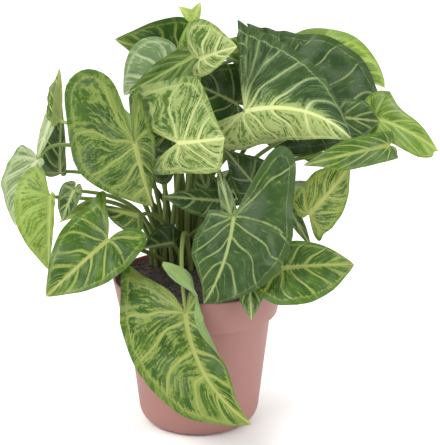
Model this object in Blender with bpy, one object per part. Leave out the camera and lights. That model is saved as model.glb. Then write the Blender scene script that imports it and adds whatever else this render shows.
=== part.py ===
"""Potted syngonium: a leafy house plant in a 12 cm terracotta coloured nursery pot.

The pot is a thin turned shell with a deep collar. Soil fills it to the rim, slightly mounded where
the stems stand. Each leaf is one solid: an arrow shaped blade, bent and folded as it grew, on a
petiole that stands in its own hole in the soil. All sizes are in millimetres until they reach a mesh.
Origin: centre of the pot's base. +Z is up and the plant's front faces -Y.
"""
import itertools
import math
from dataclasses import dataclass

import bpy
import numpy as np
from mathutils.bvhtree import BVHTree

MM = 0.001
GAP = 0.3

# Pot
RIM_RADIUS = 60.0
RIM_HEIGHT = 107.0
RIM_LIP = 1.6
COLLAR_BOTTOM_RADIUS = 55.3
COLLAR_BOTTOM_HEIGHT = 82.4
BODY_TOP_RADIUS = 50.6
BODY_BOTTOM_RADIUS = 42.6
FOOT_HEIGHT = 15.0
FOOT_RADIUS = 30.0
WALL = 1.5
POT_SIDES = 36
DRAIN_HOLES = 6
DRAIN_RING = 20.0
DRAIN_RADIUS = 3.5

# Soil
SOIL_LEVEL = 102.5
MOUND_HEIGHT = 6.0
CROWN = (-9.0, 34.0)
MOUND_SPREAD = (26.0, 18.0)
HOLE_FLOOR = 90.0

# Petioles
FOOT_RINGS = (0.0, 8.5, 16.5, 25.0)
RING_FLATNESS = 0.66
FOOT_THICKNESS = 1.9
NECK_THICKNESS = 1.2
RIB_THICKNESS = 0.5
STRAIGHT_FOOT = 4.0
PETIOLE_SIDES = 5
CLEARANCE = 0.8
LEANS = (0.0, 0.1, -0.1, 0.2, -0.2, 0.35, -0.35, 0.5, -0.5)
RISES = (1.0, 0.65, 0.35, 1.4)
REACHES = (1.0, 0.6, 1.5)

# Blades
BLADE_THICKNESS = 0.8
RIB_REACH = 0.16

COLOURS = {
    "pot": (0.40, 0.19, 0.15),
    "soil": (0.035, 0.022, 0.020),
    "dark": (0.035, 0.110, 0.030),
    "mid": (0.090, 0.220, 0.045),
    "bright": (0.230, 0.380, 0.060),
    "pale": (0.360, 0.480, 0.190),
    "sheen": (0.230, 0.340, 0.200),
}


@dataclass
class Leaf:
    """One blade. Pairs hold the left and right half, seen tip up from the top side."""
    name: str
    joint: tuple
    tip: tuple
    facing: tuple
    tone: str
    ring: int = 2
    width: tuple = (30, 30)
    lobe: tuple = (25, 25)
    lobe_out: tuple = (0.45, 0.45)
    lobe_round: tuple = (0.24, 0.24)
    sinus: tuple = (0.12, 0.12)
    shoulder: tuple = (0.94, 0.94)
    horned: tuple = (0, 0)
    widest: tuple = (0.12, 0.12)
    waist: tuple = (0, 0)
    fullness: tuple = (0, 0)
    arch: float = 20
    sway: float = 0
    fold: tuple = (15, 15)
    tip_fold: tuple = None
    curl: tuple = (-10, -10)
    tip_curl: tuple = None
    crease: tuple = (0, 0)
    roll: tuple = (1, 1)
    droop: float = 10
    wave: float = 1.0
    rows: tuple = (3, 6)
    across: int = 2
    arrive: tuple = None
    rise: float = 0.45
    reach: float = 0.35
    part_of: str = None


LEAVES = [
    Leaf("front_hang", (-8, -66, 103), (36, -90, 33), (-8, 12), "mid", ring=3, width=(26, 47), lobe=(33, 37),
         lobe_out=(1, 0.8), sinus=(0.2, 0.2), lobe_round=(0.5, 0.12), shoulder=(1, 0.97),
         fullness=(-1.1, -0.3), widest=(0.12, 0.02), sway=50, arch=10, fold=(5, 0), tip_fold=(5, 0),
         curl=(145, -10), tip_curl=(0, -20), crease=(0.33, 0), roll=(0.5, 1), rows=(5, 8), across=5,
         arrive=(-3, -12, -50), rise=0.6, reach=0.5),
    Leaf("front_dark", (24, -76, 174), (4, -66, 110), (8, 18), "dark", width=(42, 24), lobe=(50, 3),
         lobe_out=(0.64, 0.5), sinus=(0.19, 0.13), widest=(0.12, 0.3), fullness=(0.3, -0.5),
         shoulder=(0.92, 0.72), sway=-20, arch=30, fold=(5, -5), curl=(-25, -25), rows=(5, 7),
         arrive=(0.1, -0.9, 0.45), rise=0.2),
    Leaf("front_edge", (23, -75, 173), (13, -56, 205), (-10, 10), "pale", width=(5, 5), lobe=(1, 1),
         widest=(0.2, 0.2), arch=10, rows=(1, 4), across=1, part_of="front_dark"),
    Leaf("centre_young", (-13, -65, 221), (18, -82, 229), (-24, 2), "pale", width=(43, 25),
         lobe=(44, 40), lobe_out=(0.62, 0.85), sinus=(0.18, 0.3), widest=(0.4, 0.4), fullness=(0.2, 1),
         lobe_round=(0.24, 0.14), arch=20, fold=(-4, -10), curl=(-6, -20), rows=(5, 7)),
    Leaf("right_big", (31, -45, 237), (103, -40, 216), (0, 40), "pale", width=(49, 28), lobe=(-3, 40),
         lobe_out=(1.43, 0.35), horned=(1, 0), sinus=(0.07, 0.07), widest=(0.28, 0.12),
         waist=(0.18, 0), fullness=(-1, 0), sway=-40, arch=60, fold=(0, -25), curl=(0, -60),
         rows=(6, 8), arrive=(0.2, -0.6, 0.75)),
    Leaf("right_dark", (64, -5, 231), (129, 5, 208), (0, 40), "dark", width=(54, 34), lobe=(28, 30),
         lobe_out=(1.3, 0.4), horned=(1, 0), sway=-30, arch=60, fold=(0, -20), curl=(0, -25),
         rows=(6, 7)),
    Leaf("right_top", (71, 30, 236), (129, 24, 236), (0, 30), "bright", width=(36, 9), lobe=(22, 10),
         fullness=(0.4, -1.5), arch=60, sway=-45, rows=(4, 7)),
    Leaf("right_far", (121, -12, 224), (162, -32, 206), (10, 15), "bright", ring=3, width=(20, 13),
         lobe=(14, 8), widest=(0.05, 0.5), waist=(0.3, 0), fullness=(-1.5, 1), arch=40, sway=-15,
         arrive=(0.35, -0.1, 0.9), reach=0.45),
    Leaf("right_fold", (93, -29, 229), (122, -17, 223), (0, 20), "dark", ring=3, width=(13, 13), lobe=(5, 5),
         fullness=(1, 1), widest=(0.3, 0.3), arch=30, rows=(2, 5)),
    Leaf("right_mid", (128, -34, 211), (70, -52, 202), (0, 20), "mid", ring=3, width=(11, 10), lobe=(5, 5),
         widest=(0.36, 0.3), fullness=(0, 0.5), arch=40, rows=(2, 6)),
    Leaf("right_hang", (75, -38, 164), (103, -18, 192), (5, 0), "mid", ring=3, width=(17, 20), lobe=(6, 9),
         lobe_out=(0.3, 0.95), sinus=(0.12, 0.35), lobe_round=(0.24, 0.3), arch=30, fold=(-5, -5),
         widest=(0.3, 0.12), fullness=(1, 0)),
    Leaf("right_low", (57, -52, 130), (106, -38, 128), (0, 30), "mid", ring=3, width=(18, 27),
         lobe=(12, 20), arch=30),
    Leaf("right_sliver", (61, -30, 166), (77, -34, 139), (20, 0), "dark", ring=3, width=(5, 5),
         lobe=(3, 3), rows=(1, 4), across=1),
    Leaf("rim_tip", (35, -48, 129), (36, -68, 99), (0, 15), "dark", ring=3, width=(12, 12), lobe=(8, 8),
         rows=(2, 4), across=1),
    Leaf("left_low", (-60, -52, 150), (-101, -66, 115), (-12, 20), "mid", ring=3, width=(24, 27),
         lobe=(21, 20), lobe_out=(0.5, 0.98), sinus=(0, 0.33), lobe_round=(0.3, 0.12), rows=(4, 6),
         rise=0.08, reach=0.3, arrive=(-18, -32, 14)),
    Leaf("left_big", (-41, -58, 219), (-30, -50, 173), (-10, 15), "mid", width=(15, 45), lobe=(34, 54),
         lobe_out=(0.6, 0.5), sinus=(0.05, 0.03), lobe_round=(0.24, 0.35), shoulder=(0.94, 0.97),
         fold=(-30, 0), tip_fold=(-80, 0), curl=(-10, -15), rows=(5, 7)),
    Leaf("left_bright", (-100, -30, 174), (-101, -40, 125), (-10, 10), "bright", ring=3, width=(4, 24),
         lobe=(3, 20)),
    Leaf("left_sheen", (-110, -7, 193), (-125, -17, 149), (-25, 20), "sheen", ring=3, width=(7, 17),
         lobe=(3, 3), widest=(0.1, 0.25), sway=30, rows=(2, 6), arrive=(-0.35, -0.3, -0.89),
         reach=0.25),
    Leaf("left_sheath", (-99, 5, 224), (-111, -6, 191), (-20, 10), "pale", width=(5, 5), lobe=(3, 3),
         arch=10, rows=(1, 4), across=1, part_of="left_sheen"),
    Leaf("left_dark", (-97, 22, 176), (-94, 18, 225), (-10, 10), "dark", ring=3, width=(15, 5),
         lobe=(4, 3), lobe_out=(0.45, 0.45), sinus=(0, 0), widest=(0.05, 0.05), rows=(2, 6)),
    Leaf("left_pale", (-94, -7, 221), (-93, -11, 258), (-85, 0), "dark", ring=3, width=(12, 9), lobe=(3, 3),
         widest=(0.3, 0.3), arch=-20, fold=(50, 50), curl=(10, -10), rows=(2, 5)),
    Leaf("left_small", (-83, -40, 181), (-91, -42, 160), (-20, 10), "dark", ring=3, width=(7, 9),
         lobe=(6, 6), lobe_out=(0.3, 0.3), rows=(2, 4), across=1),
    Leaf("left_light", (-70, -26, 166), (-95, -30, 155), (0, 30), "bright", ring=3, width=(3, 6),
         lobe=(5, 5), fullness=(-1, -1), rows=(1, 4), across=1),
    Leaf("left_inner", (-41, -30, 160), (-65, -34, 167), (0, 30), "mid", ring=3, width=(13, 3),
         lobe=(5, 2), rows=(2, 4), across=1),
    Leaf("soil_dark", (-18, 6, 129), (-39, -10, 130), (0, 30), "dark", ring=3, width=(3, 14),
         lobe=(3, 8), rows=(2, 4), across=1),
    Leaf("mid_dark", (16, -24, 169), (-24, -30, 174), (0, 20), "dark", width=(13, 8), lobe=(10, 10),
         rows=(2, 5), arrive=(0.05, -0.35, 0.9), rise=0.15, reach=0.5),
    Leaf("mid_vein", (11, 4, 157), (-1, -2, 186), (0, 20), "dark", width=(14, 14), lobe=(8, 8),
         rows=(2, 4)),
    Leaf("mid_right", (45, -20, 171), (19, -30, 206), (0, 20), "dark", width=(16, 20), lobe=(14, 14)),
    Leaf("right_inner", (85, 4, 196), (57, -2, 202), (0, 30), "bright", width=(10, 6), lobe=(5, 5),
         rows=(2, 4), across=1),
    Leaf("top_left", (-9, 7, 259), (-56, -2, 276), (0, 15), "mid", ring=1, width=(14, 29),
         lobe=(6, 16), arch=30, fullness=(-0.6, -0.4)),
    Leaf("top_sheen", (-20, -18, 260), (-49, -28, 244), (-20, 30), "sheen", ring=1, width=(12, 26),
         lobe=(10, 14), arch=40),
    Leaf("top_band", (4, -22, 273), (-46, -33, 247), (0, 10), "bright", ring=1, width=(10, 9),
         lobe=(3, 3), widest=(0.3, 0.3), fullness=(0.8, 0.8), rows=(2, 6), across=1,
         arrive=(-0.6, -0.5, 0.6)),
    Leaf("top_pale", (2, -45, 272), (26, -60, 284), (0, 30), "pale", ring=1, width=(26, 13), lobe=(8, 8),
         arrive=(0.1, -0.2, 1), rise=0.25, reach=0.5),
    Leaf("top_dark", (27, -2, 231), (-6, -6, 248), (0, 30), "dark", width=(22, 26), lobe=(20, 20)),
    Leaf("shoot", (-6, -18, 265), (-2, -16, 297), (0, 10), "bright", ring=0, width=(9, 8), lobe=(2, 2),
         fullness=(-0.3, -0.3), arch=10, rows=(1, 5), across=1,
         arrive=(0, -0.1, 1), rise=0.25, reach=0.5),
    Leaf("bud_right", (-3, -16, 293), (2, -14, 304), (0, 10), "pale", width=(4, 4), lobe=(2, 2), arch=30,
         rows=(1, 4), across=1, part_of="shoot"),
    Leaf("bud_left", (-3, -16, 294), (-13, -12, 301), (0, 10), "pale", width=(4, 4), lobe=(2, 2),
         fullness=(-1, -1), arch=30, rows=(1, 4), across=1, part_of="shoot"),
    Leaf("small_green", (35, 0, 263), (16, -6, 276), (0, 30), "bright", ring=1, width=(12, 12),
         lobe=(6, 6), arch=30, rows=(2, 4), across=1),
    Leaf("back_mid", (-20, -4, 214), (-46, -10, 241), (-10, 20), "dark", width=(20, 20), lobe=(16, 16)),
    Leaf("back_low", (-34, 2, 183), (-43, -2, 220), (0, 20), "dark", width=(14, 18), lobe=(14, 14)),
    Leaf("back_a", (-56, 40, 187), (-76, 62, 215), (180, 40), "mid", width=(26, 26), lobe=(20, 20),
         arch=40),
    Leaf("back_b", (-26, 54, 246), (-52, 88, 252), (200, 50), "mid", ring=1, width=(26, 26),
         lobe=(20, 20), arch=50),
    Leaf("back_c", (22, 58, 232), (32, 106, 228), (175, 50), "mid", ring=1, width=(28, 28),
         lobe=(22, 22), arch=50),
    Leaf("back_d", (66, 64, 222), (92, 100, 210), (165, 50), "dark", width=(28, 28), lobe=(22, 22),
         arch=50),
    Leaf("back_e", (-20, 62, 185), (-32, 104, 144), (195, 40), "mid", ring=3, width=(30, 30),
         lobe=(24, 24), arch=40),
    Leaf("back_f", (56, 42, 160), (86, 78, 124), (145, 40), "mid", ring=3, width=(30, 30),
         lobe=(24, 24), arch=50),
    Leaf("back_g", (12, 68, 158), (8, 104, 106), (175, 40), "mid", ring=3, width=(22, 22),
         lobe=(20, 20), arch=40),
]


def unit(vector):
    return np.asarray(vector, float) / np.linalg.norm(vector)


def smooth_curve(points, count):
    """Points at equal steps along a Catmull-Rom curve through the given ones."""
    points = np.asarray(points, float)
    padded = np.vstack([2 * points[0] - points[1], points, 2 * points[-1] - points[-2]])
    t = np.linspace(0, 1, 13)[:-1, None]
    spans = []
    for i in range(len(points) - 1):
        a, b, c, d = padded[i:i + 4]
        spans.append(0.5 * (2 * b + (c - a) * t + (2 * a - 5 * b + 4 * c - d) * t ** 2
                            + (3 * b - a - 3 * c + d) * t ** 3))
    fine = np.vstack(spans + [points[-1:]])
    length = np.concatenate([[0], np.cumsum(np.linalg.norm(np.diff(fine, axis=0), axis=1))])
    at = np.linspace(0, length[-1], count)
    return np.column_stack([np.interp(at, length, fine[:, k]) for k in range(fine.shape[1])])


class Blade:
    """The curved surface of one leaf: x across from the midrib, y along it, 0 at the joint."""

    def __init__(self, leaf):
        self.leaf = leaf
        self.joint = np.array(leaf.joint, float)
        tip = np.array(leaf.tip, float)
        along = unit(tip - self.joint)
        azimuth, elevation = np.radians(leaf.facing)
        faced = np.array([math.sin(azimuth) * math.cos(elevation),
                          -math.cos(azimuth) * math.cos(elevation), math.sin(elevation)])
        normal = unit(faced - along * (faced @ along))
        self.axes = np.column_stack([np.cross(along, normal), along, normal])
        self.steps = np.linspace(0, 1, 201)
        heading = self.heading((self.steps[1:] + self.steps[:-1]) / 2)
        midrib = np.vstack([[0, 0, 0], np.cumsum(heading / 200, axis=0)])
        self.length = np.linalg.norm(tip - self.joint) / midrib[-1, 1]
        self.midrib = midrib * self.length

    def heading(self, s):
        """Direction of the midrib, which arches down and sways sideways evenly to its tip."""
        pitch = np.radians(self.leaf.arch) * (0.5 - s)
        yaw = np.radians(self.leaf.sway) * (0.5 - s)
        return np.column_stack([np.sin(yaw) * np.cos(pitch), np.cos(yaw) * np.cos(pitch), np.sin(pitch)])

    def outline(self, half):
        """Margin of one half: round its lobe to the widest line, then on to the tip."""
        leaf = self.leaf
        w = leaf.width[half]
        back = leaf.lobe[half]
        out = leaf.lobe_out[half]
        rounding = leaf.lobe_round[half]
        inner = min(leaf.sinus[half], 0.48 * (out - rounding))
        shoulder = leaf.shoulder[half]
        widest = leaf.widest[half]
        waist = leaf.waist[half]
        full = leaf.fullness[half]
        end = np.array([w, widest * self.length])
        lobe_rows, blade_rows = leaf.rows
        if leaf.horned[half]:
            horn = np.array([out * w, -back])
            away = np.linspace(0, 1, lobe_rows)[:, None]
            lobe_margin = np.vstack([(0, 0), horn + (end - horn) * away])
        else:
            lobe = [(0, 0), (inner * w, -0.42 * back), (max(out - rounding, inner) * w, -0.84 * back),
                    (out * w, -back), (max(min(out + rounding, 0.98), out + 0.08) * w, -0.82 * back),
                    (max(shoulder, min(out, 1.2)) * w, -0.30 * back), end]
            lobe_margin = smooth_curve(lobe, lobe_rows + 1)
        blade = [end, ((0.94 - waist + 0.03 * full) * w, (widest + 0.22) * self.length),
                 ((0.70 - 0.4 * waist + 0.12 * full) * w, max(0.60, widest + 0.36) * self.length),
                 ((0.38 + 0.12 * full) * w, max(0.80, widest + 0.46) * self.length),
                 ((0.12 + 0.06 * full) * w, 0.95 * self.length), (0, self.length)]
        return np.vstack([lobe_margin, smooth_curve(blade, blade_rows + 1)[1:]])

    def bend(self, half, x, y, ripple=0):
        """Place flat leaf coordinates in space: midrib curve, hanging lobes, then fold, curl and wave."""
        leaf = self.leaf
        side = 1 if half else -1
        width = leaf.width[half]
        back = max(leaf.lobe[half], 0.001)
        s = np.clip(y / self.length, 0, 1)
        base = np.column_stack([np.interp(s, self.steps, self.midrib[:, k]) for k in range(3)])
        along = self.heading(s)
        across = np.array([1.0, 0, 0]) - along * along[:, :1]
        across /= np.linalg.norm(across, axis=1)[:, None]
        up = np.cross(across, along)
        behind = np.clip(-y, 0, None)
        drop = np.radians(leaf.droop) * behind / back + 1e-9
        base = base - along * (np.sin(drop) / drop * behind)[:, None]
        base = base - up * ((1 - np.cos(drop)) / drop * behind)[:, None]
        up = up * np.cos(drop)[:, None] - along * np.sin(drop)[:, None]
        tip_fold = leaf.tip_fold or leaf.fold
        tip_curl = leaf.tip_curl or leaf.curl
        fold = np.radians(leaf.fold[half] + (tip_fold[half] - leaf.fold[half]) * s)
        curl = np.radians(leaf.curl[half] + (tip_curl[half] - leaf.curl[half]) * s)
        crease = leaf.crease[half] * np.clip(1 - behind / back, 0, 1)
        outward = np.zeros_like(x)
        raised = np.zeros_like(x)
        slices = 24
        for i in range(slices):
            turned = np.clip((x * (i + 0.5) / slices / width - crease) / leaf.roll[half], 0, None)
            if leaf.roll[half] < 1:
                turned = np.clip(turned, 0, 1)
            angle = fold + curl * turned
            outward += np.cos(angle) * x / slices
            raised += np.sin(angle) * x / slices
        raised = raised + ripple * (x / width) ** 2
        local = base + side * across * outward[:, None] + up * raised[:, None]
        return self.joint + local @ self.axes.T

    def half_sheet(self, half):
        """Grid of points over one half: rows follow the margin, columns run out from the midrib."""
        leaf = self.leaf
        lobe_rows, blade_rows = leaf.rows
        margin = self.outline(half)
        row = np.concatenate([np.linspace(-1, 0, lobe_rows + 1), np.linspace(0, 1, blade_rows + 1)[1:]])
        inner = self.length * np.clip(row, 0, 1) ** 1.3
        out = np.linspace(0, 1, leaf.across + 1)
        x = margin[:, :1] * out
        y = inner[:, None] + (margin[:, 1] - inner)[:, None] * out
        ripple = leaf.wave * np.sin(2 * math.pi * (3 * row + 0.37 * half))
        ripple = np.repeat(ripple[:, None], len(out), axis=1)
        points = self.bend(half, x.ravel(), y.ravel(), ripple.ravel())
        return points.reshape(len(row), len(out), 3)

    def sheet(self):
        """Both halves as one welded sheet of triangles."""
        points = []
        triangles = []
        for half in (0, 1):
            grid = self.half_sheet(half)
            rows, columns = grid.shape[:2]
            index = np.arange(rows * columns).reshape(rows, columns) + sum(len(p) for p in points)
            a, b, c, d = index[:-1, :-1], index[:-1, 1:], index[1:, 1:], index[1:, :-1]
            corners = np.concatenate([np.stack([a, b, c], -1).reshape(-1, 3),
                                      np.stack([a, c, d], -1).reshape(-1, 3)])
            triangles.append(corners if half else corners[:, ::-1])
            points.append(grid.reshape(-1, 3))
        points = np.vstack(points)
        triangles = np.vstack(triangles)
        _, first, same = np.unique(np.round(points, 4), axis=0, return_index=True, return_inverse=True)
        triangles = same.reshape(-1)[triangles]
        a, b, c = triangles.T
        return points[first], triangles[(a != b) & (b != c) & (c != a)]

    def neck(self):
        """Joint, top side normal there, and where the rib under the midrib ends."""
        x = np.zeros(2)
        y = np.array([0.0, RIB_REACH * self.length])
        at = self.bend(1, x, y)
        nearby = self.bend(1, x + 0.01, y)
        ahead = self.bend(1, x, y + 0.01)
        normal = np.cross(nearby - at, ahead - at)
        normal /= np.linalg.norm(normal, axis=1)[:, None]
        return at, normal


def mesh_object(name, points, faces):
    """A new object from points in millimetres."""
    mesh = bpy.data.meshes.new(name)
    mesh.from_pydata([tuple(p) for p in np.asarray(points) * MM], [], [tuple(map(int, f)) for f in faces])
    mesh.validate()
    made = bpy.data.objects.new(name, mesh)
    bpy.context.scene.collection.objects.link(made)
    return made


def thick_blade(blade):
    """The sheet thickened evenly about its middle, split alike on both faces."""
    points, triangles = blade.sheet()
    a, b, c = (points[triangles[:, k]] for k in range(3))
    facing = np.cross(b - a, c - a)
    normals = np.zeros_like(points)
    for k in range(3):
        np.add.at(normals, triangles[:, k], facing)
    normals /= np.linalg.norm(normals, axis=1)[:, None]
    offset = normals * BLADE_THICKNESS / 2
    count = len(points)
    edges = set()
    for tri in triangles.tolist():
        for k in range(3):
            edges.add((tri[k], tri[(k + 1) % 3]))
    rim = []
    for p, q in sorted(edges):
        if (q, p) not in edges:
            rim.append((q, p, p + count))
            rim.append((q, p + count, q + count))
    faces = triangles.tolist() + (triangles[:, ::-1] + count).tolist() + rim
    return mesh_object(blade.leaf.name + "_blade", np.vstack([points + offset, points - offset]), faces)


def tube(name, path, radii, sides):
    """A closed tube along the path, its section carried from ring to ring without twist."""
    path = np.asarray(path, float)
    rings = []
    normal = np.array([1.0, 0, 0])
    turn = np.linspace(0, 2 * math.pi, sides, endpoint=False)
    for i in range(len(path)):
        ahead = path[min(i + 1, len(path) - 1)] - path[max(i - 1, 0)]
        ahead = ahead / np.linalg.norm(ahead)
        normal = unit(normal - ahead * (normal @ ahead))
        side = np.cross(ahead, normal)
        rings.append(path[i] + radii[i] * (np.cos(turn)[:, None] * normal + np.sin(turn)[:, None] * side))
    faces = [list(range(sides))[::-1], [(len(path) - 1) * sides + k for k in range(sides)]]
    for i in range(len(path) - 1):
        for k in range(sides):
            n = (k + 1) % sides
            faces.append([i * sides + k, i * sides + n, (i + 1) * sides + n, (i + 1) * sides + k])
    return mesh_object(name, np.vstack(rings), faces)


def soil_height(x, y):
    """Soil level, raised in a low mound round the crown."""
    across = (x - CROWN[0]) / MOUND_SPREAD[0]
    deep = (y - CROWN[1]) / MOUND_SPREAD[1]
    return SOIL_LEVEL + MOUND_HEIGHT * np.exp(-across ** 2 - deep ** 2)


def foot_places():
    """Where each petiole enters the soil: evenly round flat rings at the crown, nearest its leaf."""
    places = {}
    turn = np.linspace(0, 2 * math.pi, 361)
    ring_x = np.cos(turn)
    ring_y = RING_FLATNESS * np.sin(turn)
    share = np.concatenate([[0], np.cumsum(np.hypot(np.diff(ring_x), np.diff(ring_y)))])
    share /= share[-1]
    for ring, radius in enumerate(FOOT_RINGS):
        members = [leaf for leaf in LEAVES if leaf.ring == ring and leaf.part_of is None]
        wanted = {}
        for leaf in members:
            angle = math.atan2(leaf.joint[1] - CROWN[1], leaf.joint[0] - CROWN[0]) % (2 * math.pi)
            wanted[leaf.name] = np.interp(angle, turn, share)
        members.sort(key=lambda leaf: wanted[leaf.name])
        slots = np.arange(len(members)) / len(members)
        lag = 2 * math.pi * (np.array([wanted[leaf.name] for leaf in members]) - slots)
        slots = (slots + math.atan2(np.sin(lag).sum(), np.cos(lag).sum()) / (2 * math.pi)) % 1
        for leaf, angle in zip(members, np.interp(slots, share, turn)):
            places[leaf.name] = (CROWN[0] + radius * math.cos(angle),
                                 CROWN[1] + radius * RING_FLATNESS * math.sin(angle))
    return places


def petiole_path(blade, foot, lean, rise, reach):
    """Up out of the soil, over in one bend swung aside by the lean, and on under the midrib."""
    leaf = blade.leaf
    level = soil_height(*foot) + STRAIGHT_FOOT
    start = np.array([foot[0], foot[1], level])
    (joint, rib_end), (normal, rib_normal) = blade.neck()
    end = joint - normal * 0.5
    span = np.linalg.norm(end - start)
    flat = np.array([end[0] - start[0], end[1] - start[1], 0.0])
    flat = flat / max(np.linalg.norm(flat), 1.0)
    aside = np.array([flat[1], -flat[0], 0.0])
    arrive = unit(leaf.arrive) if leaf.arrive else unit(flat + (0, 0, 0.3) + 0.8 * normal)
    lift = start + (0, 0, leaf.rise * rise * span) + aside * lean * span * 0.5
    lead = end - arrive * leaf.reach * reach * span + aside * lean * span
    t = np.linspace(0, 1, 8)[:, None]
    curve = ((1 - t) ** 3 * start + 3 * (1 - t) ** 2 * t * lift
             + 3 * (1 - t) * t ** 2 * lead + t ** 3 * end)
    path = np.vstack([[foot[0], foot[1], HOLE_FLOOR + GAP], curve])
    radii = np.concatenate([[FOOT_THICKNESS], np.linspace(FOOT_THICKNESS, NECK_THICKNESS, 8)])
    rib = rib_end - rib_normal * 0.45
    if arrive @ unit(rib - end) > -0.2:
        path = np.vstack([path, rib])
        radii = np.append(radii, RIB_THICKNESS)
    return path, radii


def spaced_points(path, radii):
    """Points every few millimetres along a petiole above the soil, with its thickness at each."""
    steps = np.arange(1, 8, 0.2)
    places = np.column_stack([np.interp(steps, np.arange(len(path)), path[:, k]) for k in range(3)])
    return places, np.interp(steps, np.arange(len(path)), radii)


def crowding(points, radii, blades_near, other_points, other_radii):
    """How far a petiole bites into the room that blades, other petioles, soil and rim need."""
    total = 0.0
    for point, radius in zip(points, radii):
        needed = radius + BLADE_THICKNESS / 2 + CLEARANCE
        distance = blades_near.find_nearest(point, needed)[3]
        if distance is not None:
            total += needed - distance
    apart = np.linalg.norm(points[:, None] - other_points, axis=2)
    needed = radii[:, None] + other_radii + CLEARANCE
    total += np.clip(needed - apart, 0, None).sum()
    over_pot = np.hypot(points[:, 0], points[:, 1]) < RIM_RADIUS + 3
    outside_crown = np.hypot(points[:, 0] - points[0, 0], points[:, 1] - points[0, 1]) > 6
    low = np.clip(RIM_HEIGHT + 2.5 + radii - points[:, 2], 0, None)
    return total + low[over_pot & outside_crown].sum()


def route_petioles(blades, feet):
    """Paths that leave the crown side by side, each bend picked as the plainest one that is clear."""
    sheets = {name: blade.sheet() for name, blade in blades.items()}
    bends = sorted(itertools.product(LEANS, RISES, REACHES),
                   key=lambda b: abs(b[0]) * 4 + abs(math.log(b[1])) + abs(math.log(b[2])))
    names = list(feet)
    chosen = {name: petiole_path(blades[name], feet[name], *bends[0]) for name in names}
    near = {}
    for name in names:
        points = []
        faces = []
        for other, (sheet, triangles) in sheets.items():
            if name not in (other, blades[other].leaf.part_of):
                faces += (triangles + len(points)).tolist()
                points += sheet.tolist()
        near[name] = BVHTree.FromPolygons(points, faces)
    for _ in range(3):
        for name in names:
            others = [spaced_points(*chosen[other]) for other in names if other != name]
            other_points = np.vstack([points for points, _ in others])
            other_radii = np.concatenate([radii for _, radii in others])
            best = math.inf
            for rank, bend in enumerate(bends):
                path, radii = petiole_path(blades[name], feet[name], *bend)
                found = crowding(*spaced_points(path, radii), near[name], other_points, other_radii)
                if found + 0.01 * rank < best:
                    best = found + 0.01 * rank
                    chosen[name] = (path, radii)
                if found == 0:
                    break
    return chosen


def material(name):
    made = bpy.data.materials.new(name)
    made.use_nodes = True
    shader = made.node_tree.nodes["Principled BSDF"]
    shader.inputs["Base Color"].default_value = (*COLOURS[name], 1.0)
    shader.inputs["Roughness"].default_value = 0.55 if name not in ("pot", "soil") else 0.85
    return made


def finish(made, material_name):
    """Give the object its own material and shade its round faces smooth."""
    made.data.materials.clear()
    made.data.materials.append(material(material_name))
    made.data.shade_smooth()
    made.data.set_sharp_from_angle(angle=math.radians(40))


def join_solids(name, pieces):
    """Union of the pieces as one closed object.

    The manifold solver joins them, because the exact one leaves thin, strongly curled blades open.
    """
    group = bpy.data.collections.new(name + "_pieces")
    bpy.context.scene.collection.children.link(group)
    body = pieces[0]
    for piece in pieces[1:]:
        bpy.context.scene.collection.objects.unlink(piece)
        group.objects.link(piece)
    union = body.modifiers.new("join", "BOOLEAN")
    union.operation = "UNION"
    union.operand_type = "COLLECTION"
    union.collection = group
    union.solver = "MANIFOLD"
    depsgraph = bpy.context.evaluated_depsgraph_get()
    joined = bpy.data.meshes.new_from_object(body.evaluated_get(depsgraph))
    body.modifiers.clear()
    body.data = joined
    for piece in pieces[1:]:
        bpy.data.objects.remove(piece)
    bpy.data.collections.remove(group)
    body.name = name
    body.data.name = name
    return body


def build_leaf(leaf, blades, petiole):
    path, radii = petiole
    pieces = [thick_blade(blades[leaf.name]), tube(leaf.name + "_petiole", path, radii, PETIOLE_SIDES)]
    for other in LEAVES:
        if other.part_of == leaf.name:
            pieces.append(thick_blade(blades[other.name]))
    made = join_solids("leaf_" + leaf.name, pieces)
    finish(made, leaf.tone)
    return made


def turned(name, profile, sides):
    """A closed solid turned about Z from a profile that starts and ends on the axis."""
    points = [(0.0, 0.0, profile[0][1])]
    turn = np.linspace(0, 2 * math.pi, sides, endpoint=False)
    for radius, height in profile[1:-1]:
        points += [(radius * math.cos(a), radius * math.sin(a), height) for a in turn]
    points.append((0.0, 0.0, profile[-1][1]))
    last = len(points) - 1
    faces = []
    for k in range(sides):
        n = (k + 1) % sides
        faces.append([0, 1 + n, 1 + k])
        for ring in range(len(profile) - 3):
            low = 1 + ring * sides
            high = low + sides
            faces.append([low + k, low + n, high + n, high + k])
        faces.append([last, last - sides + k, last - sides + n])
    return mesh_object(name, points, faces)


def foot_curve(inset):
    """The rounded foot of the pot's wall, set in by the given amount."""
    angles = np.radians([15, 35, 55, 75])
    return [(FOOT_RADIUS - inset * 0.5 + (BODY_BOTTOM_RADIUS - FOOT_RADIUS - inset * 0.5) * math.sin(a),
             inset + (FOOT_HEIGHT - inset) * (1 - math.cos(a))) for a in angles]


def inner_radius(height):
    """Inside radius of the pot at a height."""
    if height > COLLAR_BOTTOM_HEIGHT:
        part = (height - COLLAR_BOTTOM_HEIGHT) / (RIM_HEIGHT - COLLAR_BOTTOM_HEIGHT)
        return COLLAR_BOTTOM_RADIUS + (RIM_RADIUS - COLLAR_BOTTOM_RADIUS) * part - WALL
    part = (height - FOOT_HEIGHT) / (COLLAR_BOTTOM_HEIGHT - FOOT_HEIGHT)
    return BODY_BOTTOM_RADIUS + (BODY_TOP_RADIUS - BODY_BOTTOM_RADIUS) * part - WALL


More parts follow.
